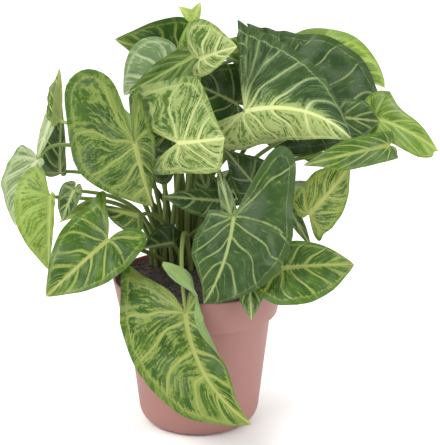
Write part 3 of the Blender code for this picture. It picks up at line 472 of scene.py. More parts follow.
LEAVES = [
    Leaf("front_hang", (-8, -66, 103), (36, -90, 33), (-8, 12), "mid", ring=3, width=(26, 47),
         lobe=(33, 37), lobe_out=(1, 0.8), sinus=0.2, lobe_round=(0.5, 0.12), shoulder=(1, 0.97),
         fullness=(-1.1, -0.3), widest=(0.12, 0.02), sway=50, arch=10, fold=(5, 0), tip_fold=(5, 0),
         curl=(145, -10), tip_curl=(0, -20), crease=(0.33, 0), roll=(0.5, 1), rows=(5, 8), across=5,
         arrive=(-3, -12, -50), rise=0.6, reach=0.5, cream=(0.3, 0.64), neck=(0.36, 0)),
    Leaf("front_dark", (24, -76, 174), (4, -66, 110), (8, 18), "dark", width=(42, 24), lobe=(50, 3),
         lobe_out=(0.64, 0.5), sinus=(0.19, 0.13), widest=(0.12, 0.3), fullness=(0.3, -0.5),
         shoulder=(0.92, 0.72), sway=-20, arch=30, fold=(5, -5), curl=-25, rows=(5, 7),
         arrive=(0.1, -0.9, 0.45), rise=0.2, cream=0.06, veins=0.9),
    Leaf("front_edge", (23, -75, 173), (13, -56, 205), (-10, 10), "pale", width=5, lobe=1, widest=0.2,
         arch=10, rows=(1, 4), across=1, part_of="front_dark", cream=0.2, shade=0.8),
    Leaf("centre_young", (-13, -65, 221), (18, -82, 229), (-24, 2), "pale", width=(43, 25), lobe=(44, 40),
         lobe_out=(0.62, 0.85), sinus=(0.18, 0.3), widest=0.4, fullness=(0.2, 1), lobe_round=(0.24, 0.14),
         fold=(-4, -10), curl=(-6, -20), rows=(5, 7), cream=(0.75, 0.8), shade=(0.8, 0.95)),
    Leaf("right_big", (31, -45, 237), (103, -40, 216), (0, 40), "pale", width=(49, 28), lobe=(-3, 40),
         lobe_out=(1.43, 0.35), horned=(1, 0), sinus=0.07, widest=(0.28, 0.12), waist=(0.18, 0),
         fullness=(-1, 0), sway=-40, arch=60, fold=(0, -25), curl=(0, -60), rows=(6, 8),
         arrive=(0.2, -0.6, 0.75), cream=(0.35, 1), shade=(0.32, 0.9)),
    Leaf("right_dark", (64, -5, 231), (129, 5, 208), (0, 40), "dark", width=(54, 34), lobe=(28, 30),
         lobe_out=(1.3, 0.4), horned=(1, 0), sway=-30, arch=60, fold=(0, -20), curl=(0, -25), rows=(6, 7),
         cream=0.05, veins=0.8, shade=0.85),
    Leaf("right_top", (71, 30, 236), (129, 24, 236), (0, 30), "bright", width=(36, 9), lobe=(22, 10),
         fullness=(0.4, -1.5), arch=60, sway=-45, rows=(4, 7), cream=0.35, veins=0.5),
    Leaf("right_far", (121, -12, 224), (162, -32, 206), (10, 15), "bright", ring=3, width=(20, 13),
         lobe=(14, 8), widest=(0.05, 0.5), waist=(0.3, 0), fullness=(-1.5, 1), arch=40, sway=-15,
         arrive=(0.35, -0.1, 0.9), reach=0.45, cream=0.25, shade=0.78, veins=0.5),
    Leaf("right_fold", (93, -29, 229), (122, -17, 223), (0, 20), "dark", ring=3, width=13, lobe=5,
         fullness=1, widest=0.3, arch=30, rows=(2, 5), cream=0.1, veins=0.5),
    Leaf("right_mid", (128, -34, 211), (70, -52, 202), (0, 20), "mid", ring=3, width=(11, 10), lobe=5,
         widest=(0.36, 0.3), fullness=(0, 0.5), arch=40, rows=(2, 6), cream=0.05, shade=1.1, veins=0.15),
    Leaf("right_hang", (75, -38, 164), (103, -18, 192), (5, 0), "mid", ring=3, width=(17, 20), lobe=(6, 9),
         lobe_out=(0.3, 0.95), sinus=(0.12, 0.35), lobe_round=(0.24, 0.3), arch=30, fold=-5,
         widest=(0.3, 0.12), fullness=(1, 0), cream=(0.55, 0.6), shade=1.15, veins=0.5),
    Leaf("right_low", (57, -52, 130), (106, -38, 128), (0, 30), "mid", ring=3, width=(18, 27),
         lobe=(12, 20), arch=30, cream=0.2, veins=0.36, shade=1.05),
    Leaf("right_sliver", (61, -30, 166), (77, -34, 139), (20, 0), "dark", ring=3, width=5, lobe=3,
         rows=(1, 4), across=1, cream=0.1),
    Leaf("rim_tip", (35, -48, 129), (36, -68, 99), (0, 15), "dark", ring=3, width=12, lobe=8, **SMALL_LEAF,
         cream=0.15, shade=1.2, veins=0.45),
    Leaf("left_low", (-60, -52, 150), (-101, -66, 115), (-12, 20), "mid", ring=3, width=(24, 27),
         lobe=(21, 20), lobe_out=(0.5, 0.98), sinus=(0, 0.33), lobe_round=(0.3, 0.12), rows=(4, 6),
         rise=0.08, reach=0.3, arrive=(-18, -32, 14), cream=0.2, veins=0.42),
    Leaf("left_big", (-41, -58, 219), (-30, -50, 173), (-10, 15), "mid", width=(15, 45), lobe=(34, 54),
         lobe_out=(0.6, 0.5), sinus=(0.05, 0.03), lobe_round=(0.24, 0.35), shoulder=(0.94, 0.97),
         fold=(-30, 0), tip_fold=(-80, 0), curl=(-10, -15), rows=(5, 7), cream=(0.62, 0.68), veins=0.9,
         shade=0.85),
    Leaf("left_bright", (-100, -30, 174), (-101, -40, 125), (-10, 10), "bright", ring=3, width=(4, 24),
         lobe=(3, 20), cream=0.8, shade=0.85, veins=0.4),
    Leaf("left_sheen", (-110, -7, 193), (-125, -17, 149), (-25, 20), "sheen", ring=3, width=(7, 17), lobe=3,
         widest=(0.1, 0.25), sway=30, rows=(2, 6), arrive=(-0.35, -0.3, -0.89), reach=0.25, cream=0.5),
    Leaf("left_sheath", (-99, 5, 224), (-111, -6, 191), (-20, 10), "pale", width=5, lobe=3, arch=10,
         rows=(1, 4), across=1, part_of="left_sheen"),
    Leaf("left_dark", (-97, 22, 176), (-94, 18, 225), (-10, 10), "dark", ring=3, width=(15, 5), lobe=(4, 3),
         sinus=0, widest=0.05, rows=(2, 6), cream=0.15),
    # Shade 2.0 lightens this leaf, which hangs in shadow: partly its own pale underside, partly painted
    # light.
    Leaf("left_pale", (-94, -7, 221), (-93, -11, 258), (-85, 0), "dark", ring=3, width=(12, 9), lobe=3,
         widest=0.3, arch=-20, fold=50, curl=(10, -10), rows=(2, 5), cream=0.1, veins=0.1, shade=2.0),
    Leaf("left_small", (-83, -40, 181), (-91, -42, 160), (-20, 10), "dark", ring=3, width=(7, 9), lobe=6,
         lobe_out=0.3, **SMALL_LEAF, cream=0.2, veins=0.5),
    Leaf("left_light", (-70, -26, 166), (-95, -30, 155), (0, 30), "bright", ring=3, width=(3, 6), lobe=5,
         fullness=-1, rows=(1, 4), across=1, shade=0.8),
    Leaf("left_inner", (-41, -30, 160), (-65, -34, 167), (0, 30), "mid", ring=3, width=(13, 3), lobe=(5, 2),
         **SMALL_LEAF, cream=0.2, shade=0.8, veins=0.5),
    Leaf("soil_dark", (-18, 6, 129), (-39, -10, 130), (0, 30), "dark", ring=3, width=(3, 14), lobe=(3, 8),
         **SMALL_LEAF, cream=0.1, shade=0.9, veins=0.4),
    Leaf("mid_dark", (16, -24, 169), (-24, -30, 174), (0, 20), "dark", width=(13, 8), lobe=10, rows=(2, 5),
         arrive=(0.05, -0.35, 0.9), rise=0.15, reach=0.5, cream=0.1, shade=0.9, veins=0.3),
    Leaf("mid_vein", (11, 4, 157), (-1, -2, 186), (0, 20), "dark", width=14, lobe=8, rows=(2, 4),
         veins=0.9),
    Leaf("mid_right", (45, -20, 171), (19, -30, 206), (0, 20), "dark", width=(16, 20), lobe=14, cream=0.1,
         shade=0.8, veins=0.5),
    Leaf("right_inner", (85, 4, 196), (57, -2, 202), (0, 30), "bright", width=(10, 6), lobe=5, **SMALL_LEAF,
         shade=0.7),
    Leaf("top_left", (-9, 7, 259), (-56, -2, 276), (0, 15), "mid", ring=1, width=(14, 29), lobe=(6, 16),
         arch=30, fullness=(-0.6, -0.4), cream=0.2, shade=0.72, veins=0.6),
    Leaf("top_sheen", (-20, -18, 260), (-49, -28, 244), (-20, 30), "sheen", ring=1, width=(12, 26),
         lobe=(10, 14), arch=40, cream=0.35, shade=0.85),
    Leaf("top_band", (4, -22, 273), (-46, -33, 247), (0, 10), "bright", ring=1, width=(10, 9), lobe=3,
         widest=0.3, fullness=0.8, rows=(2, 6), across=1, arrive=(-0.6, -0.5, 0.6), shade=0.45, veins=0.5),
    Leaf("top_pale", (2, -45, 272), (26, -60, 284), (0, 30), "pale", ring=1, width=(26, 13), lobe=8,
         arrive=(0.1, -0.2, 1), rise=0.25, reach=0.5, cream=0.7, shade=0.85),
    Leaf("top_dark", (27, -2, 231), (-6, -6, 248), (0, 30), "dark", width=(22, 26), lobe=20, cream=0.1,
         veins=0.5),
    Leaf("shoot", (-6, -18, 265), (-2, -16, 297), (0, 10), "bright", ring=0, width=(9, 8), lobe=2,
         fullness=-0.3, arch=10, rows=(1, 5), across=1, arrive=(0, -0.1, 1), rise=0.25, reach=0.5,
         cream=0.4, shade=0.8),
    Leaf("bud_right", (-3, -16, 293), (2, -14, 304), (0, 10), "pale", width=4, lobe=2, arch=30, rows=(1, 4),
         across=1, part_of="shoot", cream=0.4),
    Leaf("bud_left", (-3, -16, 294), (-13, -12, 301), (0, 10), "pale", width=4, lobe=2, fullness=-1,
         arch=30, rows=(1, 4), across=1, part_of="shoot", cream=0.4),
    Leaf("small_green", (35, 0, 263), (16, -6, 276), (0, 30), "bright", ring=1, width=12, lobe=6, arch=30,
         **SMALL_LEAF, cream=0.2, shade=0.6),
    Leaf("back_mid", (-20, -4, 214), (-46, -10, 241), (-10, 20), "dark", width=20, lobe=16, shade=1.2),
    Leaf("back_low", (-34, 2, 183), (-43, -2, 220), (0, 20), "dark", width=(14, 18), lobe=14, cream=0.2),
    Leaf("back_a", (-56, 40, 187), (-76, 62, 215), (180, 40), "mid", width=26, lobe=20, arch=40, cream=0.5),
    Leaf("back_b", (-26, 54, 246), (-52, 88, 252), (200, 50), "mid", ring=1, width=26, lobe=20, arch=50,
         cream=0.4),
    Leaf("back_c", (22, 58, 232), (32, 106, 228), (175, 50), "mid", ring=1, width=28, lobe=22, arch=50,
         cream=0.5),
    Leaf("back_d", (66, 64, 222), (92, 100, 210), (165, 50), "dark", width=28, lobe=22, arch=50, cream=0.1),
    Leaf("back_e", (-20, 62, 185), (-32, 104, 144), (195, 40), "mid", ring=3, lobe=24, arch=40, cream=0.6),
    Leaf("back_f", (56, 42, 160), (86, 78, 124), (145, 40), "mid", ring=3, lobe=24, arch=50, cream=0.4),
    Leaf("back_g", (12, 68, 158), (8, 104, 106), (175, 40), "mid", ring=3, width=22, lobe=20, arch=40,
         cream=0.5),
]


def unit(vector):
    return np.asarray(vector, float) / np.linalg.norm(vector)


def smooth_curve(points, count):
    """Points at equal steps along a Catmull-Rom curve through the given ones."""
    points = np.asarray(points, float)
    padded = np.vstack([2 * points[0] - points[1], points, 2 * points[-1] - points[-2]])
    t = np.linspace(0, 1, 13)[:-1, None]
    spans = []
    for i in range(len(points) - 1):
        a, b, c, d = padded[i:i + 4]
        spans.append(0.5 * (2 * b + (c - a) * t + (2 * a - 5 * b + 4 * c - d) * t ** 2
                            + (3 * b - a - 3 * c + d) * t ** 3))
    fine = np.vstack(spans + [points[-1:]])
    length = np.concatenate([[0], np.cumsum(np.linalg.norm(np.diff(fine, axis=0), axis=1))])
    at = np.linspace(0, length[-1], count)
    return np.column_stack([np.interp(at, length, fine[:, k]) for k in range(fine.shape[1])])


def grid_triangles(rows, columns, start, flipped):
    """Two triangles for each cell of a grid of points, which are numbered row by row from the start."""
    index = start + np.arange(rows * columns).reshape(rows, columns)
    a, b, c, d = index[:-1, :-1], index[:-1, 1:], index[1:, 1:], index[1:, :-1]
    corners = np.concatenate([np.stack(three, -1).reshape(-1, 3) for three in ([a, b, c], [a, c, d])])
    return corners[:, ::-1] if flipped else corners


def welded(points, triangles, digits):
    """Numbers of the points to keep once those alike to that many digits are one, and the triangles left."""
    _, first, same = np.unique(np.round(points, digits), axis=0, return_index=True, return_inverse=True)
    triangles = same.reshape(-1)[triangles]
    a, b, c = triangles.T
    return first, triangles[(a != b) & (b != c) & (c != a)]


def side_of(blade, x, y):
    """Points of the blade at the given flat places, and the directions that its top side faces there."""
    at, beside, ahead = blade.bend(1, x, y), blade.bend(1, x + 0.01, y), blade.bend(1, x, y + 0.01)
    normal = np.cross(beside - at, ahead - at)
    return at, normal / np.linalg.norm(normal, axis=1)[:, None]


class Blade:
    """The curved surface of one leaf: x across from the midrib, y along it, 0 at the joint."""

    def __init__(self, leaf):
        self.leaf = leaf
        self.joint = np.array(leaf.joint, float)
        tip = np.array(leaf.tip, float)
        along = unit(tip - self.joint)
        azimuth, elevation = np.radians(leaf.facing)
        faced = np.array([math.sin(azimuth) * math.cos(elevation),
                          -math.cos(azimuth) * math.cos(elevation), math.sin(elevation)])
        normal = unit(faced - along * (faced @ along))
        self.axes = np.column_stack([np.cross(along, normal), along, normal])
        self.steps = np.linspace(0, 1, 201)
        heading = self.heading((self.steps[1:] + self.steps[:-1]) / 2)
        midrib = np.vstack([[0, 0, 0], np.cumsum(heading / 200, axis=0)])
        self.length = np.linalg.norm(tip - self.joint) / midrib[-1, 1]
        self.midrib = midrib * self.length

    def heading(self, s):
        """Direction of the midrib, which arches down and sways sideways evenly to its tip."""
        pitch = np.radians(self.leaf.arch) * (0.5 - s)
        yaw = np.radians(self.leaf.sway) * (0.5 - s)
        return np.column_stack([np.sin(yaw) * np.cos(pitch), np.cos(yaw) * np.cos(pitch), np.sin(pitch)])

    def outline(self, half):
        """Margin of one half: round its lobe to the widest line, then on to the tip."""
        leaf = self.leaf
        w = leaf.width[half]
        back = leaf.lobe[half]
        out = leaf.lobe_out[half]
        rounding = leaf.lobe_round[half]
        inner = min(leaf.sinus[half], 0.48 * (out - rounding))
        shoulder = leaf.shoulder[half]
        widest = leaf.widest[half]
        waist = leaf.waist[half]
        full = leaf.fullness[half]
        end = np.array([w, widest * self.length])
        lobe_rows, blade_rows = leaf.rows
        if leaf.horned[half]:
            horn = np.array([out * w, -back])
            away = np.linspace(0, 1, lobe_rows)[:, None]
            lobe_margin = np.vstack([(0, 0), horn + (end - horn) * away])
        else:
            lobe = [(0, 0), (inner * w, -0.42 * back), (max(out - rounding, inner) * w, -0.84 * back),
                    (out * w, -back), (max(min(out + rounding, 0.98), out + 0.08) * w, -0.82 * back),
                    (max(shoulder, min(out, 1.2)) * w, -0.30 * back), end]
            lobe_margin = smooth_curve(lobe, lobe_rows + 1)
        blade = [end, ((0.94 - waist + 0.03 * full) * w, (widest + 0.22) * self.length),
                 ((0.70 - 0.4 * waist + 0.12 * full) * w, max(0.60, widest + 0.36) * self.length),
                 ((0.38 + 0.12 * full) * w, max(0.80, widest + 0.46) * self.length),
                 ((0.12 + 0.06 * full) * w, 0.95 * self.length), (0, self.length)]
        return np.vstack([lobe_margin, smooth_curve(blade, blade_rows + 1)[1:]])

    def bend(self, half, x, y, ripple=0):
        """Place flat leaf coordinates in space: midrib curve, hanging lobes, then fold, curl and wave."""
        leaf = self.leaf
        side = 1 if half else -1
        width = leaf.width[half]
        back = max(leaf.lobe[half], 0.001)
        s = np.clip(y / self.length, 0, 1)
        base = np.column_stack([np.interp(s, self.steps, self.midrib[:, k]) for k in range(3)])
        along = self.heading(s)
        across = np.array([1.0, 0, 0]) - along * along[:, :1]
        across /= np.linalg.norm(across, axis=1)[:, None]
        up = np.cross(across, along)
        behind = np.clip(-y, 0, None)
        drop = np.radians(leaf.droop) * behind / back + 1e-9
        base = base - along * (np.sin(drop) / drop * behind)[:, None]
        base = base - up * ((1 - np.cos(drop)) / drop * behind)[:, None]
        up = up * np.cos(drop)[:, None] - along * np.sin(drop)[:, None]
        tip_fold = leaf.tip_fold or leaf.fold
        tip_curl = leaf.tip_curl or leaf.curl
        fold = np.radians(leaf.fold[half] + (tip_fold[half] - leaf.fold[half]) * s)
        curl = np.radians(leaf.curl[half] + (tip_curl[half] - leaf.curl[half]) * s)
        crease = leaf.crease[half] * np.clip(1 - behind / back, 0, 1)
        outward = np.zeros_like(x)
        raised = np.zeros_like(x)
        slices = 24
        for i in range(slices):
            turned = np.clip((x * (i + 0.5) / slices / width - crease) / leaf.roll[half], 0, None)
            if leaf.roll[half] < 1:
                turned = np.clip(turned, 0, 1)
            angle = fold + curl * turned
            outward += np.cos(angle) * x / slices
            raised += np.sin(angle) * x / slices
        raised = raised + ripple * (x / width) ** 2
        local = base + side * across * outward[:, None] + up * raised[:, None]
        return self.joint + local @ self.axes.T

    def half_sheet(self, half):
        """Grid of points over one half: rows follow the margin, columns run out from the midrib."""
        leaf = self.leaf
        lobe_rows, blade_rows = leaf.rows
        margin = self.outline(half)
        row = np.concatenate([np.linspace(-1, 0, lobe_rows + 1), np.linspace(0, 1, blade_rows + 1)[1:]])
        inner = self.length * np.clip(row, 0, 1) ** 1.3
        out = np.linspace(0, 1, leaf.across + 1)
        x = margin[:, :1] * out
        y = inner[:, None] + (margin[:, 1] - inner)[:, None] * out
        ripple = leaf.wave * np.sin(2 * math.pi * (3 * row + 0.37 * half))
        ripple = np.repeat(ripple[:, None], len(out), axis=1)
        points = self.bend(half, x.ravel(), y.ravel(), ripple.ravel())
        return points.reshape(len(row), len(out), 3)

    def sheet(self):
        """Both halves as one welded sheet of triangles."""
        grids = [self.half_sheet(half) for half in (0, 1)]
        rows, columns = grids[0].shape[:2]
        points = np.vstack([grid.reshape(-1, 3) for grid in grids])
        triangles = np.vstack([grid_triangles(rows, columns, half * rows * columns, not half)
                               for half in (0, 1)])
        first, triangles = welded(points, triangles, 4)
        return points[first], triangles

    def neck(self):
        """Joint, top side normal there, and where the rib under the midrib ends."""
        return side_of(self, np.zeros(2), np.array([0.0, RIB_REACH * self.length]))


def foot_places():
    """Where each petiole enters the soil: evenly round flat rings at the crown, nearest its leaf."""
    places = {}
    turn = np.linspace(0, 2 * math.pi, 361)
    ring_x = np.cos(turn)
    ring_y = RING_FLATNESS * np.sin(turn)
    share = np.concatenate([[0], np.cumsum(np.hypot(np.diff(ring_x), np.diff(ring_y)))])
    share /= share[-1]
    for ring, radius in enumerate(FOOT_RINGS):
        members = [leaf for leaf in LEAVES if leaf.ring == ring and leaf.part_of is None]
        wanted = {}
        for leaf in members:
            angle = math.atan2(leaf.joint[1] - CROWN[1], leaf.joint[0] - CROWN[0]) % (2 * math.pi)
            wanted[leaf.name] = np.interp(angle, turn, share)
        members.sort(key=lambda leaf: wanted[leaf.name])
        slots = np.arange(len(members)) / len(members)
        lag = 2 * math.pi * (np.array([wanted[leaf.name] for leaf in members]) - slots)
        slots = (slots + math.atan2(np.sin(lag).sum(), np.cos(lag).sum()) / (2 * math.pi)) % 1
        for leaf, angle in zip(members, np.interp(slots, share, turn)):
            places[leaf.name] = (CROWN[0] + radius * math.cos(angle),
                                 CROWN[1] + radius * RING_FLATNESS * math.sin(angle))
    return places


def petiole_path(blade, foot, lean, rise, reach):
    """Up out of the soil, over in one bend swung aside by the lean, and on under the midrib."""
    leaf = blade.leaf
    level = soil_height(*foot) + STRAIGHT_FOOT
    start = np.array([foot[0], foot[1], level])
    (joint, rib_end), (normal, rib_normal) = blade.neck()
    end = joint - normal * 0.5
    span = np.linalg.norm(end - start)
    flat = np.array([end[0] - start[0], end[1] - start[1], 0.0])
    flat = flat / max(np.linalg.norm(flat), 1.0)
    aside = np.array([flat[1], -flat[0], 0.0])
    arrive = unit(leaf.arrive) if leaf.arrive else unit(flat + (0, 0, 0.3) + 0.8 * normal)
    lift = start + (0, 0, leaf.rise * rise * span) + aside * lean * span * 0.5
    lead = end - arrive * leaf.reach * reach * span + aside * lean * span
    t = np.linspace(0, 1, PETIOLE_POINTS)[:, None]
    curve = ((1 - t) ** 3 * start + 3 * (1 - t) ** 2 * t * lift
             + 3 * (1 - t) * t ** 2 * lead + t ** 3 * end)
    path = np.vstack([[foot[0], foot[1], HOLE_FLOOR + GAP], curve])
    radii = np.concatenate([[FOOT_THICKNESS], np.linspace(FOOT_THICKNESS, NECK_THICKNESS, PETIOLE_POINTS)])
    rib = rib_end - rib_normal * 0.45
    if arrive @ unit(rib - end) > -0.2:
        path = np.vstack([path, rib])
        radii = np.append(radii, RIB_THICKNESS)
    return path, radii


def spaced_points(path, radii):
    """Points every few millimetres along a petiole above the soil, with its thickness at each."""
    steps = np.arange(1, PETIOLE_POINTS, 0.2)
    places = np.column_stack([np.interp(steps, np.arange(len(path)), path[:, k]) for k in range(3)])
    return places, np.interp(steps, np.arange(len(path)), radii)


def crowding(points, radii, blades_near, other_points, other_radii):
    """How far a petiole bites into the room that blades, other petioles, soil and rim need."""
    total = 0.0
    for point, radius in zip(points, radii):
        needed = radius + BLADE_THICKNESS / 2 + CLEARANCE
        distance = blades_near.find_nearest(point, needed)[3]
        if distance is not None:
            total += needed - distance
    apart = np.linalg.norm(points[:, None] - other_points, axis=2)
    needed = radii[:, None] + other_radii + CLEARANCE
    total += np.clip(needed - apart, 0, None).sum()
    over_pot = np.hypot(points[:, 0], points[:, 1]) < RIM_RADIUS + RIM_ROOM
    outside_crown = np.hypot(points[:, 0] - points[0, 0], points[:, 1] - points[0, 1]) > CROWN_ROOM
    low = np.clip(RIM_HEIGHT + RIM_ABOVE + radii - points[:, 2], 0, None)
    return total + low[over_pot & outside_crown].sum()


def route_petioles(blades, feet):
    """Paths that leave the crown side by side, each bend picked as the plainest one that is clear."""
    sheets = {name: blade.sheet() for name, blade in blades.items()}
    bends = sorted(itertools.product(LEANS, RISES, REACHES),
                   key=lambda b: abs(b[0]) * 4 + abs(math.log(b[1])) + abs(math.log(b[2])))
    names = list(feet)
    chosen = {name: petiole_path(blades[name], feet[name], *bends[0]) for name in names}
    near = {}
    for name in names:
        points = []
        faces = []
        for other, (sheet, triangles) in sheets.items():
            if name not in (other, blades[other].leaf.part_of):
                faces += (triangles + len(points)).tolist()
                points += sheet.tolist()
        near[name] = BVHTree.FromPolygons(points, faces)
    for _ in range(3):
        for name in names:
            others = [spaced_points(*chosen[other]) for other in names if other != name]
            other_points = np.vstack([points for points, _ in others])
            other_radii = np.concatenate([radii for _, radii in others])
            best = math.inf
            for rank, bend in enumerate(bends):
                path, radii = petiole_path(blades[name], feet[name], *bend)
                found = crowding(*spaced_points(path, radii), near[name], other_points, other_radii)
                if found + 0.01 * rank < best:
                    best = found + 0.01 * rank
                    chosen[name] = (path, radii)
                if found == 0:
                    break
    return chosen


# How a blade's surface departs from its plain curve, in millimetres. One of the full length has all of it.
FULL_LENGTH = 60.0
MARGIN_DRIFT = 2.4
DRIFT_CELL = 13.0
NECK_AT = 0.12
NECK_SPREAD = 0.09
BLADE_VEINS = 4.6
LOBE_VEINS = 3.4
VEIN_SWEEP = 0.16
QUILT_HEIGHT = 0.8
QUILT_REACH = 2.6
QUILT_FADE = 6.0
BUCKLE = 3.2
BUCKLE_CELL = 17.0
BUCKLE_FADE = 8.0
MIDDLE_HALF = 0.38
EDGE_HALF = 0.10


def fine_blade(leaf, fine, seed, gathered):
    """The thin shell of one blade, and what its skin needs to know at every point.

    Each half is a grid: rows run along the margin from sinus to tip and columns from the midrib out.
    Flow holds the lateral vein's number, the millimetres between laterals, and those to the margin.
    Spot holds the millimetres to the midrib, the place along the blade and the strength of its laterals.
    Between two laterals the blade swells by 1 - exp(-(distance / QUILT_REACH)^2), and its margin ripples.
    Broad shallow swells, BUCKLE millimetres deep and dying out at the midrib and margin, lie under that.
    """
    lobe_rows, blade_rows, columns = fine
    smooth = Blade(replace(leaf, rows=(lobe_rows, blade_rows)))
    row = np.concatenate([np.linspace(-1, 0, lobe_rows + 1), np.linspace(0, 1, blade_rows + 1)[1:]])[:, None]
    out = np.linspace(0, 1, columns + 1) ** 1.15
    inner = smooth.length * np.clip(row, 0, 1) ** 1.3
    grown = smooth.length / FULL_LENGTH
    fade = np.clip(out * 2.5, 0, 1)

    margins = [smooth.outline(half) for half in (0, 1)]
    for margin, neck in zip(margins, leaf.neck):
        margin[:, 0] *= 1 - neck * np.exp(-((margin[:, 1] / smooth.length + NECK_AT) / NECK_SPREAD) ** 2)
    rim = np.vstack([margins[0][::-1] * (-1, 1), margins[1]])
    steps = np.linspace(0, len(rim) - 1, 3 * len(rim))
    rim = np.column_stack([np.interp(steps, np.arange(len(rim)), rim[:, k]) for k in range(2)])
    points, values, faces = [], [], []
    for half in (0, 1):
        x = margins[half][:, :1] * out
        y = inner + (margins[half][:, 1:] - inner) * out
        laid = np.stack([x if half else -x, y], -1)
        drift = crumbs(laid[..., 0], y, DRIFT_CELL, seed) - 0.5
        waves = np.sin(2 * math.pi * (3 * row + 0.37 * half)) + MARGIN_DRIFT * drift
        waves *= leaf.wave * min(1.0, grown ** 2)
        points.append(smooth.bend(half, x.ravel(), y.ravel(), waves.ravel()))
        sweep = VEIN_SWEEP * out ** 1.8 * np.clip(row * 2 + 1, 0, 1)
        phase = (row - sweep) * np.where(row > 0, BLADE_VEINS, LOBE_VEINS) * np.clip(grown, 0.6, 1)
        phase += 0.5 * drift
        along, across = np.gradient(laid, axis=0), np.gradient(laid, axis=1)
        across /= np.linalg.norm(across, axis=2)[..., None] + 1e-9
        pitch = np.abs(along[..., 0] * across[..., 1] - along[..., 1] * across[..., 0])
        pitch /= np.abs(np.gradient(phase, axis=0)) + 1e-6
        to_rim = np.linalg.norm(laid.reshape(-1, 1, 2) - rim, axis=2).min(axis=1).reshape(x.shape)
        cream, shade = (max(pair) + (pair[half] - max(pair)) * fade for pair in (leaf.cream, leaf.shade))
        to_midrib = np.hypot(x, np.clip(y, None, 0))
        columns_of_values = (laid[..., 0], y, phase, pitch, to_rim, to_midrib, row, out, cream, shade)
        values.append(np.stack(np.broadcast_arrays(*columns_of_values), -1).reshape(x.size, -1))
        faces.append(grid_triangles(*x.shape, half * x.size, not half))
    points = np.vstack(points)
    first, faces = welded(points, np.vstack(faces), 3)
    points = points[first]
    x, y, phase, pitch, to_rim, to_midrib, place, out, cream, shade = np.vstack(values)[first].T

    a, b, c = (points[faces[:, k]] for k in range(3))
    facing = np.cross(b - a, c - a)
    normals = np.stack([sum(np.bincount(faces[:, k], facing[:, j], len(points)) for k in range(3))
                        for j in range(3)], -1)
    normals /= np.linalg.norm(normals, axis=1)[:, None] + 1e-12
    lateral = np.abs(phase % 1 - 0.5) * pitch
    swell = 1 - np.exp(-(np.minimum(lateral, to_midrib) / QUILT_REACH) ** 2)
    swell *= np.clip(to_rim / QUILT_FADE, 0, 1) * min(1.0, grown) * QUILT_HEIGHT * leaf.veins ** 0.5
    broad = BUCKLE * leaf.wave * (crumbs(x, y, BUCKLE_CELL, seed + 50) - 0.5)
    swell += broad * np.clip(np.minimum(to_midrib, to_rim) / BUCKLE_FADE, 0, 1)
    points = points + normals * swell[:, None]
    thin = normals * (EDGE_HALF + (MIDDLE_HALF - EDGE_HALF) * (1 - out ** 6))[:, None]

    count = len(points)
    edges = np.concatenate([faces[:, [0, 1]], faces[:, [1, 2]], faces[:, [2, 0]]])
    code = edges[:, 0] * count + edges[:, 1]
    back = edges[:, 1] * count + edges[:, 0]
    p, q = edges[~np.isin(code, back)].T
    rim_faces = np.concatenate([np.stack([q, p, p + count], -1), np.stack([q, p + count, q + count], -1)])
    faces = np.concatenate([faces, faces[:, ::-1] + count, rim_faces])
    veins = np.full(count, leaf.veins)
    side = np.repeat([0.0, 1.0], count)
    gathered.add(np.vstack([points + thin, points - thin]), faces, flat=np.tile([x, y], 2).T,
                 flow=np.tile([phase, pitch, to_rim], 2).T, spot=np.tile([to_midrib, place, veins], 2).T,
                 looks=np.stack([np.tile(cream, 2), np.tile(shade, 2), side], -1))


STEM_SIDES = 10
RING_STEP = 2.5
FEWEST_RINGS = 8
PETIOLE_RINGS = 20


def round_stem(leaf, path, radii, gathered):
    """A round stem: ten points round each of many rings, carried along the smooth path without twist.

    A petiole, which has many rings, turns brown towards its foot. A rib under a blade doesn't.
    """
    lengths = np.concatenate([[0], np.cumsum(np.linalg.norm(np.diff(path, axis=0), axis=1))])
    count = max(FEWEST_RINGS, int(lengths[-1] / RING_STEP))
    middles = smooth_curve(path, count)
    radii = np.interp(np.linspace(0, lengths[-1], count), lengths, radii)
    ahead = np.gradient(middles, axis=0)
    ahead /= np.linalg.norm(ahead, axis=1)[:, None]
    normal = np.zeros_like(ahead)
    normal[0] = unit(np.cross(ahead[0], (0.0, 1.0, 0.1)))
    for i in range(1, count):
        normal[i] = unit(normal[i - 1] - ahead[i] * (normal[i - 1] @ ahead[i]))
    side = np.cross(ahead, normal)
    turn = np.linspace(0, 2 * math.pi, STEM_SIDES, endpoint=False)[None, :, None]
    around = np.cos(turn) * normal[:, None] + np.sin(turn) * side[:, None]
    points, walls, ends = lofted(middles[:, None] + around * radii[:, None, None], middles[0],
                                 middles[-1] + ahead[-1] * radii[-1])
    faces = np.vstack([walls[:, [0, 1, 2]], walls[:, [0, 2, 3]], ends])
    share = np.concatenate([[0], np.repeat(np.linspace(0, 1, count), STEM_SIDES), [1]])
    none = np.zeros(len(points))
    brown = leaf.brown + 0.5 * (1 - share) ** 2 * (count > PETIOLE_RINGS)
    gathered.add(points, faces, flat=np.stack([none, share * lengths[-1]], -1),
                 flow=np.tile([0.0, 10.0, 5.0], (len(points), 1)), spot=np.stack([brown, share, none], -1),
                 looks=np.tile([0.0, 0.5 + 0.5 * max(leaf.shade), 2.0], (len(points), 1)))


def under_rib(blade):
    """The raised midrib under the blade: a line just below the middle, thinner towards the tip."""
    y = np.linspace(0.0, 0.93, 16) * blade.length
    at, normal = side_of(blade, np.zeros_like(y), y)
    return at - normal * 0.35, np.linspace(0.62, 0.12, 16) * min(1.0, blade.length / 55)


